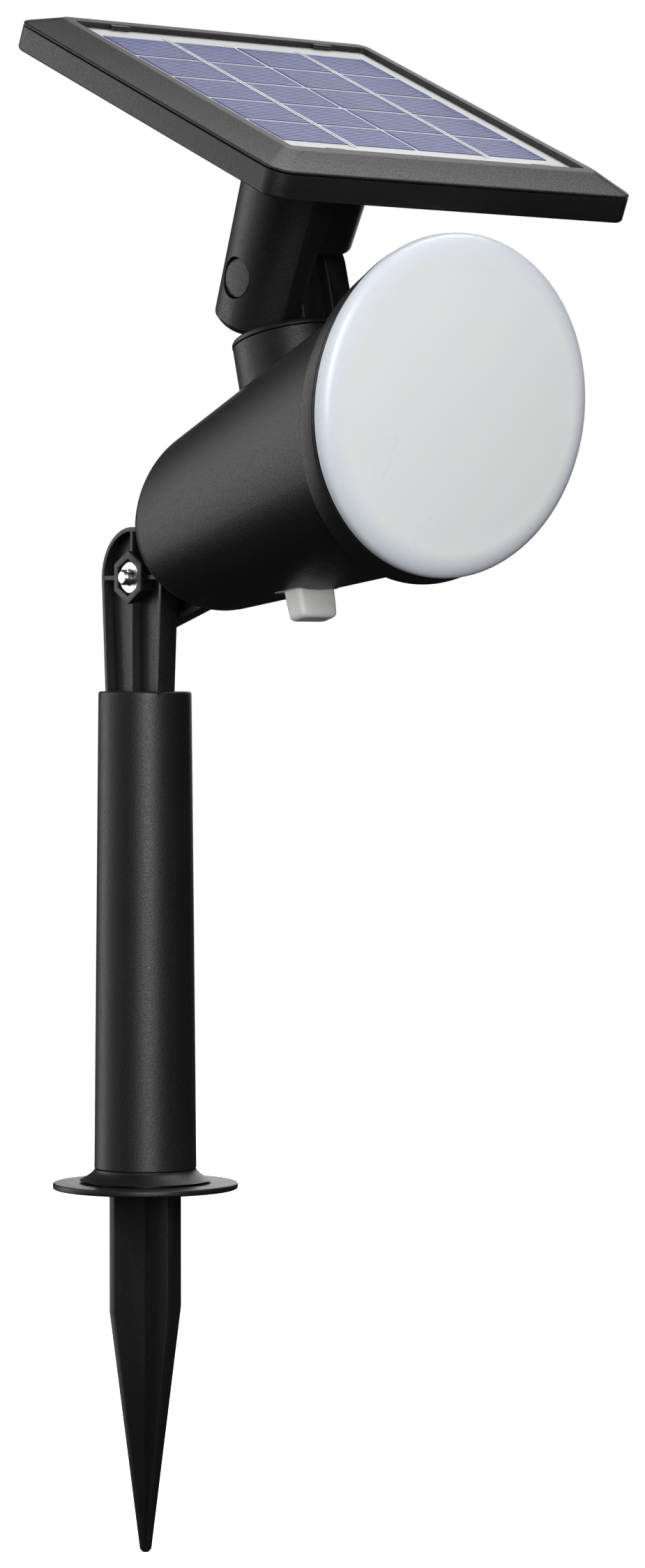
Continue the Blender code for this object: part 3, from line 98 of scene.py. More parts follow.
# ---- fasteners ----
BOLT_RADIUS = 2.0
BOLT_HOLE = 2.35
BOLT_HEAD_RADIUS = 3.9
BOLT_HEAD_HEIGHT = 2.6
SOCKET_CORNER = 1.45
SOCKET_DEPTH = 1.3
NUT_CORNER = 4.45
NUT_THICKNESS = 3.0
WASHER_RADIUS = 4.4
WASHER_THICKNESS = 0.8
BOLT_PROUD = 2.4
THREAD_PITCH = 0.7
THREAD_DEPTH = 0.16
THREADED_SHARE = 0.45
HEX_TURN = pi / 6

# ---- lamp head ----
HEAD_HINGE_Z = 156.6
LENS_PLACE, LENS_TILT = Vector((0.0, -122.2, 195.7)), 95.7
LENS_RADIUS = 41.0
BEZEL_FRONT_Z = -1.3
BEZEL_FRONT_RADIUS = 40.9
BEZEL_FRONT_DROP = -0.5
BEZEL_REAR_Z = -7.3
BEZEL_REAR_RADIUS = 40.1
BEZEL_REAR_DROP = -3.0
BELL_FRONT = (-3.6, 39.9, 35.2)
BELL_REAR = (-36.25, 23.1, 23.05)
BELL_REAR_Z = -95.5
BELL_REAR_ROUND = 6.3
BELL_CHIN_ROUND = 7.5
BELL_WALL = 2.2
SKIRT_RADIUS = 37.1
SKIRT_WALL = 1.9
SKIRT_DEPTH = 4.5
DIFFUSER_WALL = 2.0
DIFFUSER_SHOULDER = (34.0, 4.0)
DIFFUSER_CROWN = 5.6
LUG_INNER_X = EAR_INNER_X + GAP
LUG_OUTER_X = 5.6
LUG_RADIUS = 12.9
LUG_WEB_DEPTH = 1.3
LUG_RIM = 1.5
LUG_REAR_Y = -38.0
LUG_HUB_RADIUS = 6.0
GASKET_RADII = (39.6, 40.6)
GASKET_HEIGHTS = (-1.15, -0.6)

# ---- switch ----
SWITCH_PLACE, SWITCH_TILT = Vector((0.4, -67.5, 151.9)), 165.0
FLOOR_PLACE, FLOOR_TILT = Vector((0.4, -66.25, 152.05)), 172.6
BUTTON_SIZE = (11.8, 6.6)
BUTTON_CORNER = 1.4
BUTTON_PROUD = 6.7
BUTTON_INSIDE = 4.0
BUTTON_STEM_RADIUS = 1.8
BUTTON_STEM_END = -6.75
SEAL_SIZE = (13.0, 10.5, 0.9)
SEAL_CORNER = 1.0
SEAL_SINK = 0.4
SEAL_HOLE_GAP = 0.2

# ---- turret ----
TURRET_TILT = -14.8
TURRET_HINGE_HEIGHT = 15.8
BOSS_RADIUS = 15.0
BOSS_BORE = 8.4
BOSS_LEDGE = 6.0
BOSS_CHAMBER = 12.0
BOSS_DEPTH = 30.0
ORING_GROOVE = [(12.1, 1.0), (12.1, -1.7), (9.9, -1.7), (9.9, 1.0)]
DISC_RADIUS = 15.1
DISC_TOP = 1.9
STEM_RADIUS = 8.0
STEM_BORE = 3.0
STEM_DEPTH = 10.5
TURRET_LUG_X = (3.6, 10.2)
TURRET_LUG_RADIUS = 12.8
HUB_NEAR_X = -3.2
HUB_RADIUS = 9.5

# ---- panel ----
PANEL_HINGE, PANEL_TILT = Vector((0.0, -57.4, 229.2)), 23.4
SEAM_Z = 43.64
PANEL_SHIFT = 0.9
PANEL_WIDTH = 110.6
PANEL_LENGTH = 113.6
PANEL_CORNER = 5.0
TRAY_DEPTH = 6.15
TRAY_WALL = 2.0
POST_RADIUS = 3.0
POST_X = (-36.0, 36.0)
POST_Y = (-34.0, 36.0)
RIDGE_WIDTH = 95.7
RIDGE_LENGTH = 99.6
RIDGE_CORNER = 3.0
BEZEL_HEIGHT = 4.26
BEZEL_WALL = 2.2
WINDOW_WIDTH = 90.4
WINDOW_LENGTH = 93.4
LAMINATE_LAP = 1.7
TAB_SIZE = (5.8, 0.9, 1.0)
TAB_X = 31.7
LAMINATE_TOP = 2.71
LAMINATE_THICKNESS = 1.8
CELL_SHIFT = 1.4
CELL_FIELD = (81.5, 78.0)
CELL_ROWS = 5
CELL_COLUMNS = 2
COLUMN_GAP = 1.2
ROW_GAP = 1.2
CELL_THICKNESS = 0.1
CELL_LIFT = 0.06
RIBBON_WIDTH = 1.6
RIBBON_OVERHANG = 2.0
RIBBON_THICKNESS = 0.12
FINGER_PITCH = 1.25
FINGER_WIDTH = 0.15
FINGER_THICKNESS = 0.03
FINGER_MARGIN = 0.6
CHEEK_OUTER_X = -15.12
NECK_SHIFT = -0.92
NECK_RADIUS_HINGE = 14.33
NECK_TAPER = 0.052
NECK_BORE = 6.0
CHEEK_INNER_X = -3.5
CHEEK_RADIUS = 13.9
CHEEK_ROUND = (5.5, 4.0)
SKIRT_ROUND = 1.8
LUG_CLEARANCE_RADIUS = 13.2
SKIRT_END = 11.3
HINGE_HEAD_X = -7.8
HINGE_BOLT_SPARE = 9.4
CAP_RADIUS = 5.2
CAP_THICKNESS = 1.4
CAP_SINK = 0.9


def axis_frame(place, tilt):
    """A frame at a place in millimetres, turned about X by a tilt in degrees."""
    return Matrix.Translation(place) @ Matrix.Rotation(radians(tilt), 4, "X")


STAKE = Matrix.Identity(4)
LENS = axis_frame(LENS_PLACE, LENS_TILT)
SWITCH = axis_frame(SWITCH_PLACE, SWITCH_TILT)
FLOOR = axis_frame(FLOOR_PLACE, FLOOR_TILT)
TURRET_UP = Vector((0.0, -sin(radians(TURRET_TILT)), cos(radians(TURRET_TILT))))
TURRET = axis_frame(PANEL_HINGE - TURRET_UP * TURRET_HINGE_HEIGHT, TURRET_TILT)
PANEL = axis_frame(PANEL_HINGE, PANEL_TILT)

# ======== materials

# Red, green and blue light travel equally far inside the milky pieces.
EVEN_SCATTER = (1.0, 1.0, 1.0)


class Nodes:
    """Adds and joins the nodes of one material."""

    def __init__(self, name):
        self.material = bpy.data.materials.new(name)
        self.material.use_nodes = True
        self.tree = self.material.node_tree
        self.shader = self.tree.nodes["Principled BSDF"]

    def add(self, kind, settings=None, **inputs):
        node = self.tree.nodes.new(kind)
        for key, value in (settings or {}).items():
            setattr(node, key, value)
        for key, value in inputs.items():
            self.put(value, node.inputs[key.replace("_", " ")])
        return node

    def put(self, value, socket):
        if isinstance(value, bpy.types.NodeSocket):
            self.tree.links.new(value, socket)
        else:
            socket.default_value = value

    def set(self, **inputs):
        for key, value in inputs.items():
            self.put(value, self.shader.inputs[key.replace("_", " ")])
        return self

    def place(self):
        return self.add("ShaderNodeTexCoord").outputs["Object"]

    def noise(self, scale, detail=2.0, roughness=0.5):
        node = self.add("ShaderNodeTexNoise", None, Scale=scale, Detail=detail, Roughness=roughness)
        self.put(self.place(), node.inputs["Vector"])
        return node.outputs["Fac"]

    def ramp(self, value, low, high, start=0.0, end=1.0):
        node = self.add("ShaderNodeMapRange", None, Value=value, From_Min=start, From_Max=end,
                        To_Min=low, To_Max=high)
        return node.outputs["Result"]

    def mix(self, factor, first, second):
        node = self.add("ShaderNodeMix", {"data_type": "RGBA"})
        self.put(factor, node.inputs["Factor"])
        self.put(first, node.inputs["A"])
        self.put(second, node.inputs["B"])
        return node.outputs["Result"]

    def bump(self, height, distance, strength=1.0, under=None):
        node = self.add("ShaderNodeBump", None, Distance=distance, Strength=strength, Height=height)
        if under:
            self.put(under, node.inputs["Normal"])
        return node.outputs["Normal"]

    def math(self, operation, first, second=0.0):
        node = self.add("ShaderNodeMath", {"operation": operation})
        self.put(first, node.inputs[0])
        self.put(second, node.inputs[1])
        return node.outputs[0]

    def split(self, vector):
        return self.add("ShaderNodeSeparateXYZ", None, Vector=vector).outputs


def rgb(red, green, blue):
    return (red, green, blue, 1.0)


def grey(value, tint=1.0):
    return rgb(value, value, value * tint)


def grained_plastic(name, tone=0.007, roughness=0.46, grain=0.045, pitch=0.42):
    """Black moulded plastic with a fine leathery grain, faint flow marks and rubbed edges."""
    made = Nodes(name)
    patches = made.noise(38.0, 3.0)
    grit = made.noise(1000.0 / pitch, 2.0, 0.55)
    fine = made.noise(2600.0, 1.0)
    dark, pale = grey(tone * 0.85, 1.03), grey(tone * 1.2, 1.03)
    base = made.mix(made.ramp(patches, 0.0, 1.0, 0.3, 0.7), dark, pale)
    worn = made.add("ShaderNodeNewGeometry").outputs["Pointiness"]
    raised, rubbed = made.ramp(worn, 0.0, 1.0, 0.53, 0.6), made.ramp(grit, 0.2, 1.0, 0.35, 0.6)
    edge = made.math("MULTIPLY", raised, rubbed)
    colour = made.mix(made.math("MULTIPLY", edge, 0.35), base, grey(tone * 5))
    rough = made.ramp(grit, roughness - 0.07, roughness + 0.07, 0.3, 0.7)
    normal = made.bump(grit, grain * MM, 1.0)
    normal = made.bump(fine, grain * 0.3 * MM, 0.6, normal)
    return made.set(Base_Color=colour, Roughness=rough, Normal=normal).material


def plated_steel(name, tone=0.62):
    """Zinc plate with fine marks that dull it in places."""
    made = Nodes(name)
    marks = made.noise(900.0, 4.0, 0.6)
    dull, bright = grey(tone * 0.8, 0.97), grey(tone, 1.02)
    colour = made.mix(made.ramp(marks, 0.0, 1.0, 0.35, 0.65), dull, bright)
    rough = made.ramp(marks, 0.2, 0.36, 0.3, 0.7)
    normal = made.bump(marks, 0.01 * MM, 0.4)
    return made.set(Base_Color=colour, Metallic=1.0, Roughness=rough, Normal=normal).material


def smooth_plastic(name, colour, roughness=0.4):
    """A plain colour that varies slightly in tone and gloss."""
    made = Nodes(name)
    cloud = made.noise(220.0, 3.0)
    dark = rgb(*(value * 0.9 for value in colour))
    pale = rgb(*(min(value * 1.06, 1.0) for value in colour))
    tint = made.mix(made.ramp(cloud, 0.0, 1.0, 0.35, 0.65), dark, pale)
    rough = made.ramp(cloud, roughness - 0.05, roughness + 0.05, 0.3, 0.7)
    normal = made.bump(cloud, 0.008 * MM, 0.5)
    return made.set(Base_Color=tint, Roughness=rough, Normal=normal).material


def opal(name):
    """Milky acrylic: white over the dome, with painted shade round the rim as a cooler, darker grey.
    """
    made = Nodes(name)
    cloud = made.noise(60.0, 2.0)
    x, y = made.split(made.place())[:2]
    squares = made.math("ADD", made.math("POWER", x, 2.0), made.math("POWER", y, 2.0))
    # Painted shade: the colour ramps to a darker, cooler grey towards the rounded rim.
    painted_rim_shade = made.ramp(made.math("SQRT", squares), 0.0, 1.0, 34.5 * MM, 39.0 * MM)
    milk, haze = rgb(0.92, 0.935, 0.95), rgb(0.935, 0.95, 0.96)
    centre = made.mix(made.ramp(cloud, 0.0, 1.0, 0.3, 0.7), milk, haze)
    colour = made.mix(painted_rim_shade, centre, rgb(0.76, 0.80, 0.87))
    rough = made.ramp(cloud, 0.27, 0.33, 0.3, 0.7)
    made.set(Base_Color=colour, Roughness=rough)
    made.set(Subsurface_Weight=0.35, Subsurface_Scale=2.5 * MM, Subsurface_Radius=EVEN_SCATTER)
    return made.material


def silicone(name):
    """Frosted silicone rubber, clouded with a greyer tone."""
    made = Nodes(name)
    cloud = made.noise(300.0, 3.0)
    thick, thin = rgb(0.86, 0.865, 0.84), rgb(0.92, 0.925, 0.90)
    colour = made.mix(made.ramp(cloud, 0.0, 1.0, 0.35, 0.65), thick, thin)
    rough = made.ramp(cloud, 0.34, 0.46, 0.3, 0.7)
    made.set(Base_Color=colour, Roughness=rough, Normal=made.bump(cloud, 0.01 * MM, 0.4))
    made.set(Subsurface_Weight=0.5, Subsurface_Scale=1.5 * MM, Subsurface_Radius=EVEN_SCATTER)
    return made.material


def silicon_cell(name):
    """Polycrystalline silicon: blue-violet grains under a clear coat of resin."""
    made = Nodes(name)
    grain = made.add("ShaderNodeTexVoronoi", None, Scale=190.0)
    made.put(made.place(), grain.inputs["Vector"])
    tint = made.split(grain.outputs["Color"])[0]
    cloud = made.noise(35.0, 2.0)
    deep, light = rgb(0.045, 0.052, 0.19), rgb(0.062, 0.07, 0.25)
    crystal = made.mix(made.ramp(tint, 0.25, 0.75), deep, light)
    colour = made.mix(made.ramp(cloud, 0.0, 0.5, 0.3, 0.7), crystal, rgb(0.072, 0.082, 0.28))
    rough = made.ramp(cloud, 0.32, 0.42, 0.3, 0.7)
    made.set(Base_Color=colour, Roughness=rough)
    made.set(Coat_Weight=0.1, Coat_Roughness=0.12, Specular_IOR_Level=0.15)
    return made.material


def backsheet(name):
    """White sheet under clear resin."""
    made = Nodes(name)
    weave = made.noise(1400.0, 2.0)
    dim, white = rgb(0.76, 0.775, 0.765), rgb(0.81, 0.82, 0.815)
    colour = made.mix(made.ramp(weave, 0.0, 1.0, 0.3, 0.7), dim, white)
    made.set(Base_Color=colour, Roughness=made.ramp(weave, 0.3, 0.4, 0.3, 0.7))
    made.set(Normal=made.bump(weave, 0.01 * MM, 0.3), Coat_Weight=0.5, Coat_Roughness=0.12)
    return made.material


def tinned(name):
    """Tin on the ribbons and the printed fingers."""
    made = Nodes(name)
    marks = made.noise(700.0, 3.0)
    dull, bright = rgb(0.66, 0.67, 0.68), rgb(0.78, 0.79, 0.79)
    colour = made.mix(made.ramp(marks, 0.0, 1.0, 0.3, 0.7), dull, bright)
    rough = made.ramp(marks, 0.3, 0.45, 0.3, 0.7)
    return made.set(Base_Color=colour, Metallic=0.25, Roughness=rough).material


BLACK = grained_plastic("black_grained_plastic")
STEEL = plated_steel("zinc_plated_steel")
OPAL = opal("opal_acrylic")
SILICONE = silicone("frosted_silicone")
CELL = silicon_cell("blue_silicon")
SHEET = backsheet("white_backsheet")
TINNED = tinned("tinned_ribbon")
RUBBER = smooth_plastic("black_rubber", (0.012, 0.012, 0.012), 0.6)

INNER_COLOURS = {
    "light_reflector": (0.9, 0.9, 0.9),
    "led_board": (0.85, 0.85, 0.83),
    "led_carrier": (0.7, 0.7, 0.69),
    "control_board": (0.03, 0.2, 0.08),
    "battery_cell": (0.05, 0.22, 0.5),
    "battery_cradle": (0.05, 0.05, 0.05),
    "tact_switch": (0.03, 0.03, 0.03),
    "charge_controller": (0.02, 0.02, 0.02),
    "boost_inductor": (0.08, 0.08, 0.08),
    "panel_connector": (0.85, 0.84, 0.78),
    "turret_oring": (0.01, 0.01, 0.01),
    "junction_terminal": (0.05, 0.05, 0.05),
    "panel_lead": (0.02, 0.02, 0.02),
}


def paint_inner_nodes():
    """Materials of the CAD nodes that stay as they are, most of them inside the housing."""
    chip = smooth_plastic("led_phosphor", (0.95, 0.85, 0.35))
    for name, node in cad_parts.items():
        if name.startswith("led_chip"):
            finish = chip
        elif name in INNER_COLOURS:
            finish = smooth_plastic(name, INNER_COLOURS[name])
        else:
            finish = STEEL
        node.data.materials.clear()
        node.data.materials.append(finish)


paint_inner_nodes()

# ======== modelling helpers


def finish_mesh(bm, name):
    mesh = bpy.data.meshes.new(name)
    bmesh.ops.recalc_face_normals(bm, faces=bm.faces)
    bm.to_mesh(mesh)
    bm.free()
    return mesh


def new_object(name, mesh):
    obj = bpy.data.objects.new(name, mesh)
    bpy.context.scene.collection.objects.link(obj)
    return obj


def apply_modifiers(obj):
    """Swaps the object's mesh for the one its modifiers make."""
    bpy.context.view_layer.update()
    graph = bpy.context.evaluated_depsgraph_get()
    made = bpy.data.meshes.new_from_object(obj.evaluated_get(graph))
    old = obj.data
    obj.modifiers.clear()
    obj.data = made
    made.name = obj.name
    bpy.data.meshes.remove(old)


def combine(obj, mesh, operation, placement=STAKE):
    """One exact Boolean with a mesh, which it uses up. Placement is in the object's own frame."""
    tool = new_object("tool", mesh)
    tool.matrix_world = placement
    modifier = obj.modifiers.new("combine", "BOOLEAN")
    modifier.object = tool
    modifier.operation = operation
    modifier.solver = "EXACT"
    apply_modifiers(obj)
    bpy.data.objects.remove(tool, do_unlink=True)
    bpy.data.meshes.remove(mesh)


def cut(obj, mesh, placement=STAKE):
    combine(obj, mesh, "DIFFERENCE", placement)


def join(obj, mesh, placement=STAKE):
    combine(obj, mesh, "UNION", placement)


def mesh_of(helper):
    """Takes the mesh out of a helper object and drops the object."""
    mesh = helper.data
    bpy.data.objects.remove(helper, do_unlink=True)
    return mesh


def soften(obj, width, segments=2, angle=38):
    """Rounds the outward edges that are sharper than an angle in degrees."""
    bm = bmesh.new()
    bm.from_mesh(obj.data)
    sharp = bm.edges.layers.float.new("bevel_weight_edge")
    for edge in bm.edges:
        if edge.is_manifold and edge.is_convex and edge.calc_face_angle() > radians(angle):
            edge[sharp] = 1.0
    bm.to_mesh(obj.data)
    bm.free()
    modifier = obj.modifiers.new("edges", "BEVEL")
    modifier.width = width
    modifier.segments = segments
    modifier.limit_method = "WEIGHT"
    modifier.use_clamp_overlap = True
    apply_modifiers(obj)
    obj.data.attributes.remove(obj.data.attributes["bevel_weight_edge"])
    return obj


def place_piece(obj, home, body, node, material, smooth=32):
    """Scales the piece to metres in its home frame and hands it to the CAD body it stands for."""
    obj.data.transform(Matrix.Scale(MM, 4))
    world = home.copy()
    world.translation = home.translation * MM
    obj.matrix_world = world
    obj.data.materials.clear()
    obj.data.materials.append(material)
    obj.data.shade_smooth()
    obj.data.set_sharp_from_angle(angle=radians(smooth))
    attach(obj, body)
    if node:
        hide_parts(node)


def box_mesh(low, high):
    bm = bmesh.new()
    bmesh.ops.create_cube(bm, size=1.0)
    low, high = Vector(low), Vector(high)
    size, middle = high - low, (high + low) / 2
    for vert in bm.verts:
        vert.co = Vector((vert.co.x * size.x, vert.co.y * size.y, vert.co.z * size.z)) + middle
    return finish_mesh(bm, "box")


AXIS_TURN = {
    "X": Matrix.Rotation(pi / 2, 4, "Y"),
    "Y": Matrix.Rotation(-pi / 2, 4, "X"),
    "Z": Matrix.Identity(4),
}


def rod_mesh(start, axis, length, radius, end_radius=None, sides=SMALL_ROUND, turn=0.0):
    """A cylinder or cone from a start point, running along +X, +Y or +Z."""
    bm = bmesh.new()
    middle = Matrix.Translation((0.0, 0.0, length / 2)) @ Matrix.Rotation(turn, 4, "Z")
    matrix = Matrix.Translation(start) @ AXIS_TURN[axis] @ middle
    bmesh.ops.create_cone(
        bm, cap_ends=True, segments=sides, radius1=radius,
        radius2=radius if end_radius is None else end_radius, depth=length, matrix=matrix,
    )
    return finish_mesh(bm, "rod")


def full_turns(steps):
    return [2 * pi * i / steps for i in range(steps)]


def turned_mesh(profile, closed=False, steps=ROUND):
    """A profile of (radius, height) turned about Z; an open one starts and ends on the axis."""
    bm = bmesh.new()
    rings = []
    for radius, height in profile:
        if radius < 1e-6:
            rings.append([bm.verts.new((0.0, 0.0, height))])
            continue
        points = [(radius * cos(t), radius * sin(t), height) for t in full_turns(steps)]
        rings.append([bm.verts.new(point) for point in points])
    pairs = list(zip(rings, rings[1:]))
    if closed:
        pairs.append((rings[-1], rings[0]))
    for first, second in pairs:
        for i in range(steps):
            j = (i + 1) % steps
            if len(first) == 1:
                bm.faces.new((first[0], second[i], second[j]))
            elif len(second) == 1:
                bm.faces.new((first[i], first[j], second[0]))
            else:
                bm.faces.new((first[i], first[j], second[j], second[i]))
    return finish_mesh(bm, "turned")


def plate_mesh(outline, low, high):
    """An outline of (y, z) points filled and extruded between two places on X."""
    bm = bmesh.new()
    face = bm.faces.new([bm.verts.new((low, y, z)) for y, z in outline])
    made = bmesh.ops.extrude_face_region(bm, geom=[face])
    moved = [item for item in made["geom"] if isinstance(item, bmesh.types.BMVert)]
    bmesh.ops.translate(bm, verts=moved, vec=(high - low, 0.0, 0.0))
    return finish_mesh(bm, "plate")


def loft_mesh(rings, closed=False):
    """Skins a list of rings of points; the ends are capped, or joined when closed."""
    bm = bmesh.new()
    made = [[bm.verts.new(point) for point in ring] for ring in rings]
    pairs = list(zip(made, made[1:]))
    if closed:
        pairs.append((made[-1], made[0]))
    for first, second in pairs:
        count = len(first)
        for i in range(count):
            j = (i + 1) % count
            bm.faces.new((first[i], first[j], second[j], second[i]))
    if not closed:
        bm.faces.new(made[0])
        bm.faces.new(made[-1])
    return finish_mesh(bm, "loft")


def circle(height, drop, radius):
    return [Vector((radius * cos(t), drop + radius * sin(t), height)) for t in full_turns(ROUND)]


def rounded_ring(height, width, length, corner, shift=0.0, per_corner=10):
    """A rectangle with round corners, centred on the Z axis plus a shift along y."""
    ring = []
    for quarter in range(4):
        across = (1, -1, -1, 1)[quarter] * (width / 2 - corner)
        along = (1, 1, -1, -1)[quarter] * (length / 2 - corner)
        for step in range(per_corner + 1):
            turn = pi / 2 * (quarter + step / per_corner)
            x, y = across + corner * cos(turn), along + corner * sin(turn) + shift
            ring.append(Vector((x, y, height)))
    return ring


def quarter_turns(steps):
    """Angles from nothing to a right angle, in equal steps."""
    return [pi / 2 * step / steps for step in range(steps + 1)]


def arc(radius, start, end, steps, middle=(0.0, 0.0)):
    turns = [radians(start + (end - start) * i / steps) for i in range(steps + 1)]
    return [(middle[0] + radius * cos(t), middle[1] + radius * sin(t)) for t in turns]


def corner_arc(outer, height, radius, start, end, steps=5):
    """Points of a rounded corner of a turned profile, about a centre inside the corner."""
    return arc(radius, start, end, steps, (outer - radius, height))


# ======== fasteners


def bolt_mesh(shank):
    """Pan head above z = 0 with a hexagon socket, and a shank with rolled thread ridges below."""
    head = [(0.0, BOLT_HEAD_HEIGHT)]
    head += [(BOLT_HEAD_RADIUS * (1 - 0.4 * (1 - sin(t))), BOLT_HEAD_HEIGHT * (0.3 + 0.7 * cos(t)))
             for t in (radians(a) for a in range(0, 91, 15))]
    profile = head + [(BOLT_HEAD_RADIUS, 0.0), (BOLT_RADIUS, 0.0)]
    ridges = int((shank * THREADED_SHARE) / THREAD_PITCH)
    start = shank - 0.6 - ridges * THREAD_PITCH
    profile.append((BOLT_RADIUS, -start))
    for index in range(ridges):
        low = -start - index * THREAD_PITCH
        profile.append((BOLT_RADIUS - THREAD_DEPTH, low - THREAD_PITCH * 0.5))
        profile.append((BOLT_RADIUS, low - THREAD_PITCH))
    profile += [(BOLT_RADIUS - 0.5, -shank), (0.0, -shank)]
    return turned_mesh(profile, steps=SMALL_ROUND)


def bolt(name, home, head_x, height, shank, body):
    """A bolt along X, with its head on the side of the hinge that head_x gives."""
    obj = new_object(name + "_fine", bolt_mesh(shank))
    socket_floor = (0.0, 0.0, BOLT_HEAD_HEIGHT - SOCKET_DEPTH)
    cut(obj, rod_mesh(socket_floor, "Z", 3.0, SOCKET_CORNER, sides=6))
    side = -1 if head_x < 0 else 1
    turn = Matrix.Translation((head_x, 0.0, height)) @ Matrix.Rotation(side * pi / 2, 4, "Y")
    obj.data.transform(turn)
    place_piece(obj, home, body, name, STEEL)


def hex_nut(name, home, start_x, height, body):
    """A hexagon nut whose corners are turned down on both faces."""
    start = (start_x, 0.0, height)
    hexagon = rod_mesh(start, "X", NUT_THICKNESS, NUT_CORNER, sides=6, turn=HEX_TURN)
    obj = new_object(name + "_fine", hexagon)
    face, side, slope = NUT_CORNER * 0.88, NUT_CORNER * 1.02, 0.55
    turned = [(0.0, 0.0), (face, 0.0), (side, slope), (side, NUT_THICKNESS - slope),
              (face, NUT_THICKNESS), (0.0, NUT_THICKNESS)]
    along_x = Matrix.Translation(start) @ AXIS_TURN["X"]
    combine(obj, turned_mesh(turned, steps=SMALL_ROUND), "INTERSECT", along_x)
    cut(obj, rod_mesh((start_x - 1.0, 0.0, height), "X", NUT_THICKNESS + 2.0, BOLT_RADIUS + 0.15))
    soften(obj, 0.12, 2)
    place_piece(obj, home, body, name, STEEL)


def flat_washer(name, home, start_x, height, body):
    hole, outer, blunt = BOLT_HOLE, WASHER_RADIUS, 0.12
    profile = [(outer, blunt), (outer, WASHER_THICKNESS - blunt), (outer - blunt, WASHER_THICKNESS),
               (hole, WASHER_THICKNESS), (hole, 0.0), (outer - blunt, 0.0)]
    obj = new_object(name + "_fine", turned_mesh(profile, True, SMALL_ROUND))
    obj.data.transform(Matrix.Translation((start_x, 0.0, height)) @ AXIS_TURN["X"])
    place_piece(obj, home, body, name, STEEL)


# ======== stake


def ground_spike():
    """Pole socket, flange and a four-finned spike, moulded as one piece."""
    blunt = 0.5
    profile = [
        (0.0, SPIGOT_FLOOR), (SPIGOT_BORE, SPIGOT_FLOOR), (SPIGOT_BORE, SPIGOT_TOP),
        (SPIGOT_RADIUS - 0.6, SPIGOT_TOP), (SPIGOT_RADIUS, SPIGOT_TOP - 0.8),
        (SPIGOT_RADIUS, SEAT_TOP), (POLE_RADIUS_BOTTOM, SEAT_TOP),
    ]
    flare_run, steps = FLARE_RADIUS - 0.3 - POLE_RADIUS_BOTTOM, 8
    for step in range(1, steps + 1):
        share = step / steps
        profile.append((POLE_RADIUS_BOTTOM + flare_run * share ** 1.5,
                        SEAT_TOP - (SEAT_TOP - FLARE_LOW) * share))
    profile += [(FLARE_RADIUS, GROOVE_TOP + 0.1), (FLARE_RADIUS - 0.1, GROOVE_TOP)]
    profile += [(GROOVE_RADIUS, GROOVE_TOP), (GROOVE_RADIUS, FLANGE_THICKNESS)]
    profile += corner_arc(FLANGE_RADIUS, FLANGE_THICKNESS - blunt, blunt, 90, 0)
    profile += corner_arc(FLANGE_RADIUS, blunt, blunt, 0, -90)
    profile.append((0.0, 0.0))
    obj = new_object("ground_spike_fine", turned_mesh(profile))
    join(obj, mesh_of(soften(new_object("fins", spike_mesh()), 0.35, 3, 50)))
    place_piece(obj, STAKE, "stake", "ground_spike", BLACK)


def spike_mesh():
    """A cross of four fins, straight below the flange and then tapering to a blunt tip."""
    levels = [
        (0.8, FIN_REACH, FIN_THICKNESS / 2),
        (FIN_STRAIGHT_END, FIN_REACH, FIN_THICKNESS / 2),
        (SPIKE_TIP + 0.8, TIP_REACH, 0.85),
        (SPIKE_TIP, 0.75, 0.45),
    ]
    rings = []
    for height, reach, half in levels:
        corners = [(reach, -half), (reach, half), (half, half)]
        ring = []
        for quarter in range(4):
            turn = Matrix.Rotation(quarter * pi / 2, 2)
            ring += [Vector((*(turn @ Vector(corner)), height)) for corner in corners]
        rings.append(ring)
    return loft_mesh(rings)


def ear_outline(inset=0.0):
    """The ear seen along X, as (y, z): straight sides from the foot, tangent to a round top."""
    foot_z = POLE_TOP - 1.0
    radius = EAR_RADIUS - inset
    spread = EAR_HALF_WIDTH_FOOT - inset
    lean = degrees(asin((radius - spread) / (HEAD_HINGE_Z - foot_z)))
    round_top = arc(radius, -lean, 180 + lean, 48, (0.0, HEAD_HINGE_Z))
    return [(-spread, foot_z), (spread, foot_z)] + round_top


def pole():
    """The tube with its closed crown and the hinge ear that rises from it."""
    crown = POLE_TOP - POLE_CROWN
    blunt = 0.7
    profile = [(0.0, POLE_TOP)] + corner_arc(POLE_RADIUS_TOP, POLE_TOP - blunt, blunt, 90, 0)
    profile += [
        (POLE_RADIUS_TOP + 0.01, POLE_TOP - blunt - 1.0),
        (POLE_RADIUS_BOTTOM, POLE_BOTTOM + 0.3), (POLE_RADIUS_BOTTOM - 0.3, POLE_BOTTOM),
        (POLE_BORE, POLE_BOTTOM), (POLE_BORE, crown), (0.0, crown),
    ]
    obj = new_object("pole_fine", turned_mesh(profile))
    ear(obj)
    place_piece(obj, STAKE, "stake", "pole", BLACK)


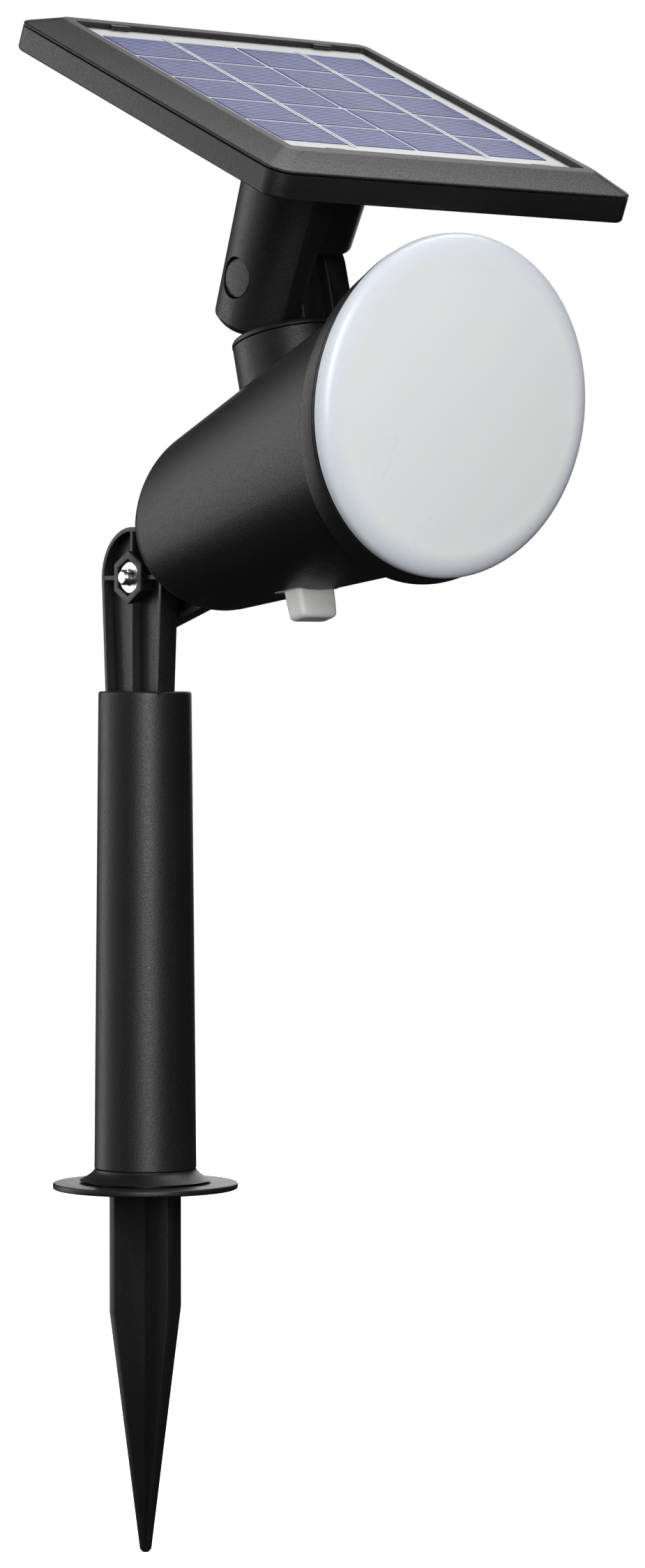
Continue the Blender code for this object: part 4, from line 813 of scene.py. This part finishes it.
def ear(obj):
    """The hinge ear: a pocketed plate with a cross of ribs and a hexagonal nut boss."""
    plate = new_object("ear", plate_mesh(ear_outline(), EAR_OUTER_X, EAR_INNER_X))
    floor = EAR_OUTER_X + EAR_POCKET_DEPTH
    pocket = new_object("pocket", plate_mesh(ear_outline(EAR_RIM), EAR_OUTER_X - 1.0, floor))
    far = 20
    cut(pocket, box_mesh((-far, -far, POLE_TOP - 5), (far, far, POLE_TOP + 0.02)))
    cut(plate, mesh_of(pocket))
    low, high, half = EAR_OUTER_X + 0.05, floor + 0.5, EAR_RIB / 2
    rib_top = HEAD_HINGE_Z + EAR_RADIUS - 0.3
    join(plate, box_mesh((low, -half, POLE_TOP - 0.8), (high, half, rib_top)))
    reach = EAR_RADIUS - 0.4
    join(plate, box_mesh((low, -reach, HEAD_HINGE_Z - half), (high, reach, HEAD_HINGE_Z + half)))
    start = (EAR_OUTER_X - HEX_BOSS_PROUD, 0.0, HEAD_HINGE_Z)
    length = HEX_BOSS_PROUD + EAR_POCKET_DEPTH + 0.5
    join(plate, rod_mesh(start, "X", length, HEX_BOSS_CORNER, sides=6, turn=HEX_TURN))
    start, length = (start[0] - 1.0, 0.0, HEAD_HINGE_Z), NUT_POCKET_DEPTH + 1.0
    cut(plate, rod_mesh(start, "X", length, NUT_POCKET_CORNER, sides=6, turn=HEX_TURN))
    cut(plate, rod_mesh((-15, 0.0, HEAD_HINGE_Z), "X", 30.0, BOLT_HOLE))
    join(obj, mesh_of(soften(plate, 0.18, 2)))


ground_spike()
pole()
nut_x = EAR_OUTER_X - HEX_BOSS_PROUD + NUT_POCKET_DEPTH - GAP - NUT_THICKNESS
hex_nut("pivot_nut", STAKE, nut_x, HEAD_HINGE_Z, "stake")
washer_x = LUG_OUTER_X + GAP
flat_washer("pivot_washer", STAKE, washer_x, HEAD_HINGE_Z, "stake")
bolt_x = washer_x + WASHER_THICKNESS + GAP
bolt("pivot_bolt", STAKE, bolt_x, HEAD_HINGE_Z, bolt_x - nut_x + BOLT_PROUD, "stake")

# ======== lamp head


def bell_section(z):
    """(drop, half width, half height) of the outside of the bell at a height z in the lens frame."""
    share = (BEZEL_REAR_Z - z) / (BEZEL_REAR_Z - BELL_REAR_Z)
    return [front + share * (rear - front) for front, rear in zip(BELL_FRONT, BELL_REAR)]


def bell_rings(offset, front_z, rear_z, round_depth, steps):
    """Elliptical sections from front to rear, ending in a shoulder that is rounder underneath."""
    turns = full_turns(ROUND)
    depths = [round_depth + BELL_CHIN_ROUND * max(0.0, -sin(turn)) ** 1.5 for turn in turns]

    def ring(share, bend):
        points = []
        for turn, depth in zip(turns, depths):
            z = front_z + share * (rear_z + depth - front_z) - depth * sin(bend)
            drop, across, upright = bell_section(z)
            pull = depth * (1 - cos(bend)) + offset
            x, y = (across - pull) * cos(turn), drop + (upright - pull) * sin(turn)
            points.append(Vector((x, y, z)))
        return points

    straight = [ring(share, 0.0) for share in (0.0, 0.25, 0.5, 0.75, 1.0)]
    return straight + [ring(1.0, bend) for bend in quarter_turns(steps)[1:]]


def lug_outline(inset=0.0):
    """The head's hinge tongue seen along X, as (y, z): a round end that widens into the bell."""
    round_end = arc(LUG_RADIUS - inset, -90, 100, 36, (0.0, HEAD_HINGE_Z))
    upper = [(-27.0, 179.0 - inset), (LUG_REAR_Y, 182.0)]
    lower = [(LUG_REAR_Y, 153.6 + inset), (-25.8, 149.9 + inset), (-5.7, 143.75 + inset)]
    return round_end + upper + lower


def lamp_housing():
    """The bell with its bezel ring, turret boss, hinge tongue and switch pocket."""
    front = BEZEL_REAR_Z + 1.0
    shell = bell_rings(0.0, front, BELL_REAR_Z, BELL_REAR_ROUND, 12)
    obj = new_object("lamp_housing_fine", loft_mesh(shell))
    to_stake = LENS.inverted()
    to_turret, to_floor, to_switch = to_stake @ TURRET, to_stake @ FLOOR, to_stake @ SWITCH
    boss_foot = (0.0, 0.0, -BOSS_DEPTH)
    join(obj, rod_mesh(boss_foot, "Z", BOSS_DEPTH, BOSS_RADIUS, sides=ROUND), to_turret)
    join(obj, plate_mesh(lug_outline(), LUG_INNER_X, LUG_OUTER_X), to_stake)
    cut(obj, loft_mesh(bell_rings(BELL_WALL, BEZEL_REAR_Z + 2.0, BELL_REAR_Z + 3.2, 5.0, 6)))
    join(obj, bezel_band())
    seat_floor = (0.0, 0.0, -SKIRT_DEPTH - 1.1)
    cut(obj, rod_mesh(seat_floor, "Z", 9.0, SKIRT_RADIUS + GAP, sides=ROUND))
    chamber_depth, bore_low = 22.0, -15.0
    chamber_foot = (0.0, 0.0, -BOSS_LEDGE - chamber_depth)
    cut(obj, rod_mesh(chamber_foot, "Z", chamber_depth, BOSS_CHAMBER, sides=MEDIUM_ROUND), to_turret)
    cut(obj, rod_mesh((0.0, 0.0, bore_low), "Z", 20.0, BOSS_BORE, sides=MEDIUM_ROUND), to_turret)
    cut(obj, turned_mesh(ORING_GROOVE, True, MEDIUM_ROUND), to_turret)
    wide, long = [2 * (size / 2 + GAP) for size in SEAL_SIZE[:2]]
    pocket_floor = -(SEAL_SINK + SEAL_SIZE[2] + GAP)
    recess = [rounded_ring(height, wide, long, SEAL_CORNER + GAP) for height in (pocket_floor, 8.0)]
    cut(obj, loft_mesh(recess), to_floor)
    across, along = [size / 2 + 0.5 for size in BUTTON_SIZE]
    cut(obj, box_mesh((-across, -along, -8.0), (across, along, 12.0)), to_switch)
    cut(obj, rod_mesh((-10.0, 0.0, HEAD_HINGE_Z), "X", 25.0, BOLT_HOLE), to_stake)
    cut(obj, lug_web(front), to_stake)
    place_piece(obj, LENS, "lamp_head", "lamp_housing", BLACK)


def lug_web(front):
    """The hollow in the side of the tongue, clear of the hub round the bolt and of the bell."""
    web = plate_mesh(lug_outline(LUG_RIM), LUG_INNER_X - 1.0, LUG_INNER_X + LUG_WEB_DEPTH)
    hollow = new_object("web", web)
    cut(hollow, rod_mesh((LUG_INNER_X - 2.0, 0.0, HEAD_HINGE_Z), "X", 6.0, LUG_HUB_RADIUS))
    clear = 0.4
    cut(hollow, loft_mesh(bell_rings(-clear, front, BELL_REAR_Z - clear, BELL_REAR_ROUND, 8)), LENS)
    return mesh_of(hollow)


def bezel_band():
    """The band round the lens, blunt at both rims."""
    blunt, turns = 0.45, quarter_turns(4)
    rings = [circle(BEZEL_FRONT_Z - blunt * (1 - cos(turn)), BEZEL_FRONT_DROP,
                    BEZEL_FRONT_RADIUS - blunt * (1 - sin(turn))) for turn in turns]
    rings += [circle(BEZEL_REAR_Z + blunt * (1 - sin(turn)), BEZEL_REAR_DROP,
                     BEZEL_REAR_RADIUS - blunt * (1 - cos(turn))) for turn in turns]
    return loft_mesh(rings)


def diffuser():
    """A shallow dome with a round shoulder, and a skirt that seats in the housing."""
    shoulder_r, shoulder_z = DIFFUSER_SHOULDER
    rim_z, lower_z = 0.6, -0.5
    rise = DIFFUSER_CROWN - shoulder_z
    profile = [(0.0, DIFFUSER_CROWN)]
    dome_steps, inner_steps = 12, 6
    for step in range(1, dome_steps + 1):
        share = step / dome_steps
        profile.append((shoulder_r * share, DIFFUSER_CROWN - rise * share ** 2))
    for turn in quarter_turns(10)[1:]:
        profile.append((shoulder_r + (LENS_RADIUS - shoulder_r) * sin(turn),
                        rim_z + (shoulder_z - rim_z) * cos(turn)))
    inner_r = SKIRT_RADIUS - SKIRT_WALL
    profile += [
        (LENS_RADIUS, lower_z + 0.15), (LENS_RADIUS - 0.15, lower_z), (SKIRT_RADIUS, lower_z),
        (SKIRT_RADIUS, -SKIRT_DEPTH), (inner_r, -SKIRT_DEPTH), (inner_r, -0.2),
    ]
    for step in range(inner_steps):
        share = 1 - step / inner_steps
        profile.append((shoulder_r * share, DIFFUSER_CROWN - DIFFUSER_WALL - rise * share ** 2))
    profile.append((0.0, DIFFUSER_CROWN - DIFFUSER_WALL))
    obj = new_object("diffuser_fine", turned_mesh(profile, steps=LENS_ROUND))
    place_piece(obj, LENS, "lamp_head", "diffuser_lens", OPAL, 40)


def lens_gasket():
    """The thin rubber ring between the diffuser's rim and the bezel."""
    inner, outer = GASKET_RADII
    low, top = GASKET_HEIGHTS
    blunt = 0.12
    profile = [(outer, top - blunt), (outer, low + blunt), (outer - blunt, low), (inner, low),
               (inner, top), (outer - blunt, top)]
    obj = new_object("lens_gasket_fine", turned_mesh(profile, True, LENS_ROUND))
    place_piece(obj, LENS, "lamp_head", "lens_gasket", RUBBER)


def switch_pieces():
    """The silicone boot of the button, and the seal plate that lies in the recess round it."""
    shift = (FLOOR.inverted() @ SWITCH_PLACE).y
    top, low, blunt = -SEAL_SINK, -SEAL_SINK - SEAL_SIZE[2], 0.3
    wide, long = SEAL_SIZE[:2]
    hole_wide, hole_long = [size + 2 * SEAL_HOLE_GAP for size in BUTTON_SIZE]
    rings = [
        rounded_ring(top, wide - 2 * blunt, long - 2 * blunt, SEAL_CORNER),
        rounded_ring(top - 0.09, wide - 0.6 * blunt, long - 0.6 * blunt, SEAL_CORNER),
        rounded_ring(top - blunt, wide, long, SEAL_CORNER),
        rounded_ring(low, wide, long, SEAL_CORNER),
        rounded_ring(low, hole_wide, hole_long, BUTTON_CORNER, shift),
        rounded_ring(top, hole_wide, hole_long, BUTTON_CORNER, shift),
    ]
    seal = new_object("switch_seal_fine", loft_mesh(rings, True))
    place_piece(seal, FLOOR, "lamp_head", "switch_seal", SILICONE, 40)
    wide, long = BUTTON_SIZE
    draft_wide, draft_long = 0.6, 0.4
    shoulder, steps = 1.5, 8
    body = [rounded_ring(-BUTTON_INSIDE, wide, long, BUTTON_CORNER)]
    for height, share in ((-1.0, 0.0), (2.0, 0.35), (BUTTON_PROUD - shoulder, 1.0)):
        body.append(rounded_ring(height, wide - draft_wide * share, long - draft_long * share,
                                 BUTTON_CORNER))
    for step, turn in enumerate(quarter_turns(steps)[1:], 1):
        pull = 2 * shoulder * (1 - cos(turn)) * 0.85
        body.append(rounded_ring(BUTTON_PROUD - shoulder * (1 - sin(turn)), wide - draft_wide - pull,
                                 long - draft_long - pull, BUTTON_CORNER - 0.5 * step / steps))
    button = new_object("switch_button_fine", loft_mesh(body))
    stem_length = -BUTTON_INSIDE - BUTTON_STEM_END + 0.5
    join(button, rod_mesh((0.0, 0.0, BUTTON_STEM_END), "Z", stem_length, BUTTON_STEM_RADIUS))
    place_piece(button, SWITCH, "switch", "switch_button", SILICONE, 40)


lamp_housing()
diffuser()
lens_gasket()
switch_pieces()

# ======== turret


def knuckle_outline(radius):
    """A round-topped lug standing on the disc, as (y, z) in the turret frame."""
    foot = DISC_TOP - 0.6
    return [(-radius, foot), (radius, foot)] + arc(radius, 0, 180, 48, (0.0, TURRET_HINGE_HEIGHT))


def turret():
    """The swivelling disc with its stem in the boss and the hinge lug above."""
    blunt = 1.1
    profile = [(0.0, DISC_TOP)] + corner_arc(DISC_RADIUS, DISC_TOP - blunt, blunt, 90, 0, 4)
    profile += [
        (DISC_RADIUS, GAP + 0.15), (DISC_RADIUS - 0.15, GAP), (STEM_RADIUS, GAP),
        (STEM_RADIUS, -STEM_DEPTH), (0.0, -STEM_DEPTH),
    ]
    obj = new_object("turret_fine", turned_mesh(profile))
    near, far = TURRET_LUG_X
    lug = new_object("lug", plate_mesh(knuckle_outline(TURRET_LUG_RADIUS), near, far))
    join(lug, plate_mesh(knuckle_outline(HUB_RADIUS), HUB_NEAR_X, near + 0.5))
    cut(lug, rod_mesh((-10.0, 0.0, TURRET_HINGE_HEIGHT), "X", 30.0, BOLT_HOLE))
    join(obj, mesh_of(soften(lug, 0.4, 3)))
    cut(obj, rod_mesh((0.0, 0.0, -STEM_DEPTH - 1.0), "Z", STEM_DEPTH - 1.0, STEM_BORE))
    place_piece(obj, TURRET, "turret_body", "turret", BLACK)


turret()

# ======== solar panel


def panel_ring(height, width, length, corner):
    return rounded_ring(SEAM_Z + height, width, length, corner, PANEL_SHIFT, 12)


def tray():
    """Shallow tray with the neck and its hinge cheek below it, and four posts for the sheet."""
    def ring(height, inset, corner):
        return panel_ring(height, PANEL_WIDTH - 2 * inset, PANEL_LENGTH - 2 * inset, corner)

    inner_corner = PANEL_CORNER - TRAY_WALL
    low_round = 0.9
    rings = []
    for turn in quarter_turns(6):
        inset = low_round * (1 - sin(turn))
        rings.append(ring(-TRAY_DEPTH + low_round * (1 - cos(turn)), inset, PANEL_CORNER - inset))
    rings += [
        ring(-0.1, 0.0, PANEL_CORNER),
        ring(0.0, 0.1, PANEL_CORNER - 0.1),
        ring(0.0, TRAY_WALL, inner_corner),
        ring(-TRAY_DEPTH + TRAY_WALL, TRAY_WALL, inner_corner),
    ]
    obj = new_object("panel_tray_fine", loft_mesh(rings))
    floor = SEAM_Z - TRAY_DEPTH
    join(obj, neck(floor + 1.0))
    top = SEAM_Z + LAMINATE_TOP - LAMINATE_THICKNESS - GAP
    for x in POST_X:
        for y in POST_Y:
            join(obj, rod_mesh((x, y, floor + 0.5), "Z", top - floor - 0.5, POST_RADIUS))
    cut(obj, rod_mesh((0.0, 0.0, 12.0), "Z", 40.0, NECK_BORE))
    place_piece(obj, PANEL, "panel", "panel_tray", BLACK)


def neck(top):
    """A tapering column whose skirt ends over the turret, and the cheek that reaches the hinge."""
    far, steps = 20.0, 10

    def radius_at(z):
        return NECK_RADIUS_HINGE + NECK_TAPER * z

    end = radius_at(SKIRT_END)
    skirt = [(0.0, top), (radius_at(top), top), (end, SKIRT_END + SKIRT_ROUND)]
    skirt += corner_arc(end, SKIRT_END + SKIRT_ROUND, SKIRT_ROUND, 0, -90, 8)[1:]
    skirt.append((0.0, SKIRT_END))
    obj = new_object("neck", turned_mesh(skirt))
    obj.data.transform(Matrix.Translation((NECK_SHIFT, 0.0, 0.0)))
    cut(obj, rod_mesh((CHEEK_INNER_X, 0.0, 0.0), "X", 30.0, LUG_CLEARANCE_RADIUS, sides=ROUND))
    low, high = -18.0, top - 1.0
    foot, run = (NECK_SHIFT, 0.0, low), high - low
    column = rod_mesh(foot, "Z", run, radius_at(low), radius_at(high), sides=ROUND)
    cheek = new_object("cheek", column)
    along, inward = CHEEK_ROUND
    outline = [(0.0, far), (CHEEK_RADIUS, far)]
    for step in range(steps + 1):
        turn = pi / 2 * (1 - step / steps)
        outline.append((CHEEK_RADIUS - inward * (1 - sin(turn)), -along * cos(turn)))
    outline.append((0.0, -along))
    round_end = new_object("round_end", turned_mesh(outline, steps=ROUND))
    round_end.data.transform(Matrix.Translation((CHEEK_OUTER_X + along, 0.0, 0.0)) @ AXIS_TURN["X"])
    join(round_end, box_mesh((-far, -far, 0.0), (far, far, top + 5.0)))
    combine(cheek, mesh_of(round_end), "INTERSECT")
    cut(cheek, box_mesh((CHEEK_INNER_X, -far, low - 1.0), (far, far, top + 1.0)))
    join(obj, mesh_of(cheek))
    cut(obj, rod_mesh((-far, 0.0, 0.0), "X", far + HINGE_HEAD_X, CAP_RADIUS))
    cut(obj, rod_mesh((-25.0, 0.0, 0.0), "X", 40.0, BOLT_HOLE))
    return mesh_of(obj)


def bezel():
    """The frame over the cells: a chamfered border round the window, with four snap tabs."""
    corner = PANEL_CORNER
    base, ridge = GAP, BEZEL_HEIGHT
    lip = LAMINATE_TOP + GAP
    lap = 2 * LAMINATE_LAP + 1.0
    cover_w, cover_l = WINDOW_WIDTH + lap, WINDOW_LENGTH + lap
    soft = 0.22

    def edge(height, inset):
        return panel_ring(height, PANEL_WIDTH - 2 * inset, PANEL_LENGTH - 2 * inset, corner - inset)

    rings = [
        edge(base, 0.15),
        edge(base + 0.15, 0.02),
        edge(base + 0.35, 0.0),
        edge(base + 0.55, 0.18),
        edge(base + 0.7, 0.5),
        panel_ring(ridge - soft, RIDGE_WIDTH + 3.6 * soft, RIDGE_LENGTH + 3.6 * soft, RIDGE_CORNER),
        panel_ring(ridge - soft * 0.3, RIDGE_WIDTH + 0.3, RIDGE_LENGTH + 0.3, RIDGE_CORNER - 0.2),
        panel_ring(ridge, RIDGE_WIDTH - 1.5 * soft, RIDGE_LENGTH - 1.5 * soft, RIDGE_CORNER - 0.4),
        panel_ring(ridge, WINDOW_WIDTH + 2 * soft, WINDOW_LENGTH + 2 * soft, 1.0),
        panel_ring(ridge - soft, WINDOW_WIDTH, WINDOW_LENGTH, 0.8),
        panel_ring(lip, WINDOW_WIDTH, WINDOW_LENGTH, 0.8),
        panel_ring(lip - 0.02, cover_w, cover_l, 0.8),
        panel_ring(base + 0.3, cover_w + 0.4, cover_l + 0.4, 0.8),
        edge(base, BEZEL_WALL),
    ]
    obj = new_object("panel_bezel_fine", loft_mesh(rings, True))
    low = SEAM_Z + lip + 0.1
    for end in (-1, 1):
        wall = PANEL_SHIFT + end * WINDOW_LENGTH / 2
        ends = sorted((wall - end * TAB_SIZE[1], wall + end * 0.8))
        for side in (-1, 1):
            x, half = side * TAB_X, TAB_SIZE[0] / 2
            tab = box_mesh((x - half, ends[0], low), (x + half, ends[1], low + TAB_SIZE[2]))
            join(obj, mesh_of(soften(new_object("tab", tab), 0.15, 2)))
    place_piece(obj, PANEL, "panel", "panel_bezel", BLACK, 25)


def laminate():
    """The white sheet, with its edges a little rounded by the resin."""
    wide, long, blunt = WINDOW_WIDTH + 2 * LAMINATE_LAP, WINDOW_LENGTH + 2 * LAMINATE_LAP, 0.2
    top, low = LAMINATE_TOP, LAMINATE_TOP - LAMINATE_THICKNESS
    rings = [
        panel_ring(low, wide, long, 0.8),
        panel_ring(top - blunt, wide, long, 0.8),
        panel_ring(top, wide - 2 * blunt, long - 2 * blunt, 0.6),
    ]
    obj = new_object("solar_backsheet_fine", loft_mesh(rings))
    place_piece(obj, PANEL, "panel", "solar_backsheet", SHEET)


BOX_FACES = (
    (0, 1, 3, 2), (4, 6, 7, 5), (0, 4, 5, 1), (2, 3, 7, 6), (0, 2, 6, 4), (1, 5, 7, 3),
)


def strips(boxes):
    """Many thin plates as one mesh, each as (low corner, high corner)."""
    bm = bmesh.new()
    for low, high in boxes:
        corners = [bm.verts.new((x, y, z)) for x in (low[0], high[0]) for y in (low[1], high[1])
                   for z in (low[2], high[2])]
        for face in BOX_FACES:
            bm.faces.new([corners[i] for i in face])
    return finish_mesh(bm, "strips")


def cells():
    """Two columns of five cells with fine fingers across them, and a bus ribbon down each column."""
    base = SEAM_Z + LAMINATE_TOP + CELL_LIFT
    face = base + CELL_THICKNESS
    width = (CELL_FIELD[0] - COLUMN_GAP * (CELL_COLUMNS - 1)) / CELL_COLUMNS
    length = (CELL_FIELD[1] - ROW_GAP * (CELL_ROWS - 1)) / CELL_ROWS
    middle = PANEL_SHIFT + CELL_SHIFT
    for column in range(CELL_COLUMNS):
        left = -CELL_FIELD[0] / 2 + column * (width + COLUMN_GAP)
        fingers = []
        for row in range(CELL_ROWS):
            front = middle - CELL_FIELD[1] / 2 + row * (length + ROW_GAP)
            number = column * CELL_ROWS + row + 1
            mesh = box_mesh((left, front, base), (left + width, front + length, face))
            cell = soften(new_object(f"solar_cell_fine_{number}", mesh), 0.06, 1)
            place_piece(cell, PANEL, "panel", f"solar_cell_{number}", CELL)
            count = int(length / FINGER_PITCH)
            for index in range(count):
                y = front + length * (index + 0.5) / count
                first, last = left + FINGER_MARGIN, left + width - FINGER_MARGIN
                fingers.append(((first, y - FINGER_WIDTH / 2, face - 0.005),
                                (last, y + FINGER_WIDTH / 2, face + FINGER_THICKNESS)))
        grid = new_object(f"cell_fingers_{column + 1}", strips(fingers))
        place_piece(grid, PANEL, "panel", None, TINNED)
        bus_ribbons(column, left + width / 2, middle, face)


def bus_ribbons(column, centre, middle, face):
    """Two strips side by side down the middle of one column of cells."""
    reach = CELL_FIELD[1] / 2 + RIBBON_OVERHANG
    low, high = face + CELL_LIFT, face + CELL_LIFT + RIBBON_THICKNESS
    half = RIBBON_WIDTH / 2
    pair = []
    for side in (-1, 1):
        inner, outer = sorted((side * half * 0.3, side * half))
        pair.append(((centre + inner, middle - reach, low), (centre + outer, middle + reach, high)))
    obj = soften(new_object(f"bus_ribbons_fine_{column + 1}", strips(pair)), 0.03, 1)
    place_piece(obj, PANEL, "panel", f"bus_ribbon_{column + 1}", TINNED)


def cap():
    """The plug that hides the head of the panel hinge bolt, just below the cheek's surface."""
    outer, radius, blunt = CHEEK_OUTER_X + CAP_SINK, CAP_RADIUS - GAP, 0.3
    profile = [(0.0, 0.0)]
    profile += [(radius - blunt * (1 - sin(t)), blunt * (1 - cos(t))) for t in quarter_turns(4)]
    profile += [(radius, CAP_THICKNESS), (0.0, CAP_THICKNESS)]
    obj = new_object("hinge_cap_fine", turned_mesh(profile, steps=MEDIUM_ROUND))
    obj.data.transform(Matrix.Translation((outer, 0.0, 0.0)) @ AXIS_TURN["X"])
    place_piece(obj, PANEL, "panel", "hinge_cap", BLACK)


tray()
bezel()
laminate()
cells()
cap()
lug_face = TURRET_LUG_X[1]
hinge_shank = lug_face + WASHER_THICKNESS + NUT_THICKNESS + HINGE_BOLT_SPARE
bolt("hinge_bolt", PANEL, HINGE_HEAD_X - GAP, 0.0, hinge_shank, "panel")
flat_washer("hinge_washer", PANEL, lug_face + GAP, 0.0, "panel")
hex_nut("hinge_nut", PANEL, lug_face + 2 * GAP + WASHER_THICKNESS, 0.0, "panel")

# ======== studio

CAMERA_PLACE = (-0.7903, -1.0687, 0.1347)
CAMERA_DIP = 1.333
CAMERA_HEADING = -38.441
CAMERA_LENS = 119.1
SENSOR_WIDTH = 36.0
FLOOR_SIZE = 6.0
FLOOR_DROP = 0.5 * MM
WORLD_FILL = 0.02


def add_area(name, place, aim, size, power):
    """A white light; place, aim and size are in metres and power is in watts."""
    data = bpy.data.lights.new(name, "AREA")
    data.shape = "RECTANGLE"
    data.size, data.size_y = size
    data.energy = power
    light = bpy.data.objects.new(name, data)
    bpy.context.scene.collection.objects.link(light)
    light.visible_camera = False
    light.location = place
    light.rotation_euler = (Vector(aim) - Vector(place)).to_track_quat("-Z", "Y").to_euler()


def add_camera():
    """A long lens in front and to the -X side, almost level."""
    camera_data = bpy.data.cameras.new("camera")
    camera_data.sensor_fit = "AUTO"
    camera_data.sensor_width = SENSOR_WIDTH
    camera_data.lens = CAMERA_LENS
    camera_data.clip_end = 50.0
    camera = bpy.data.objects.new("camera", camera_data)
    camera.location = CAMERA_PLACE
    camera.rotation_euler = (radians(90 - CAMERA_DIP), 0.0, radians(CAMERA_HEADING))
    bpy.context.scene.collection.objects.link(camera)
    bpy.context.scene.camera = camera


def add_floor():
    """A white floor that glows like the background, so that the two meet without a line."""
    bm = bmesh.new()
    bmesh.ops.create_grid(bm, x_segments=1, y_segments=1, size=FLOOR_SIZE)
    mesh = bpy.data.meshes.new("floor")
    bm.to_mesh(mesh)
    bm.free()
    floor = bpy.data.objects.new("floor", mesh)
    bpy.context.scene.collection.objects.link(floor)
    floor.location.z = CAD_BOX[0][2] - FLOOR_DROP
    made = Nodes("pale_floor")
    made.set(Base_Color=grey(0.9), Roughness=0.9, Emission_Color=grey(1.0), Emission_Strength=1.0)
    mesh.materials.append(made.material)
    floor.visible_diffuse = False
    floor.visible_glossy = False
    floor.visible_transmission = False


def add_world():
    """White behind the object, and much dimmer as a source of light."""
    scene_world = bpy.data.worlds.new("studio")
    scene_world.use_nodes = True
    bpy.context.scene.world = scene_world
    tree = scene_world.node_tree
    sky = tree.nodes["Background"]
    sky.inputs["Color"].default_value = grey(1.0)
    path = tree.nodes.new("ShaderNodeLightPath")
    level = tree.nodes.new("ShaderNodeMapRange")
    level.inputs["To Min"].default_value = WORLD_FILL
    level.inputs["To Max"].default_value = 1.0
    tree.links.new(path.outputs["Is Camera Ray"], level.inputs["Value"])
    tree.links.new(level.outputs["Result"], sky.inputs["Strength"])


add_camera()
add_floor()
add_world()
add_area("overhead", (0.4, 0.0, 1.25), (0.0, -0.07, 0.25), (0.9, 0.9), 11)
add_area("rear_left_low", (-0.55, 1.12, 0.2), (0.0, -0.05, 0.1), (0.45, 1.5), 6)
add_area("rear_left_high", (-1.1, 0.75, 0.5), (0.0, -0.05, 0.2), (1.5, 1.3), 4.5)
add_area("rear_right", (1.0, 0.9, 0.5), (0.0, -0.05, 0.15), (0.8, 0.8), 5)
add_area("front", (-0.75, -1.3, 0.5), (0.0, -0.08, 0.12), (0.55, 1.3), 22)
bpy.context.scene.view_settings.view_transform = "Standard"
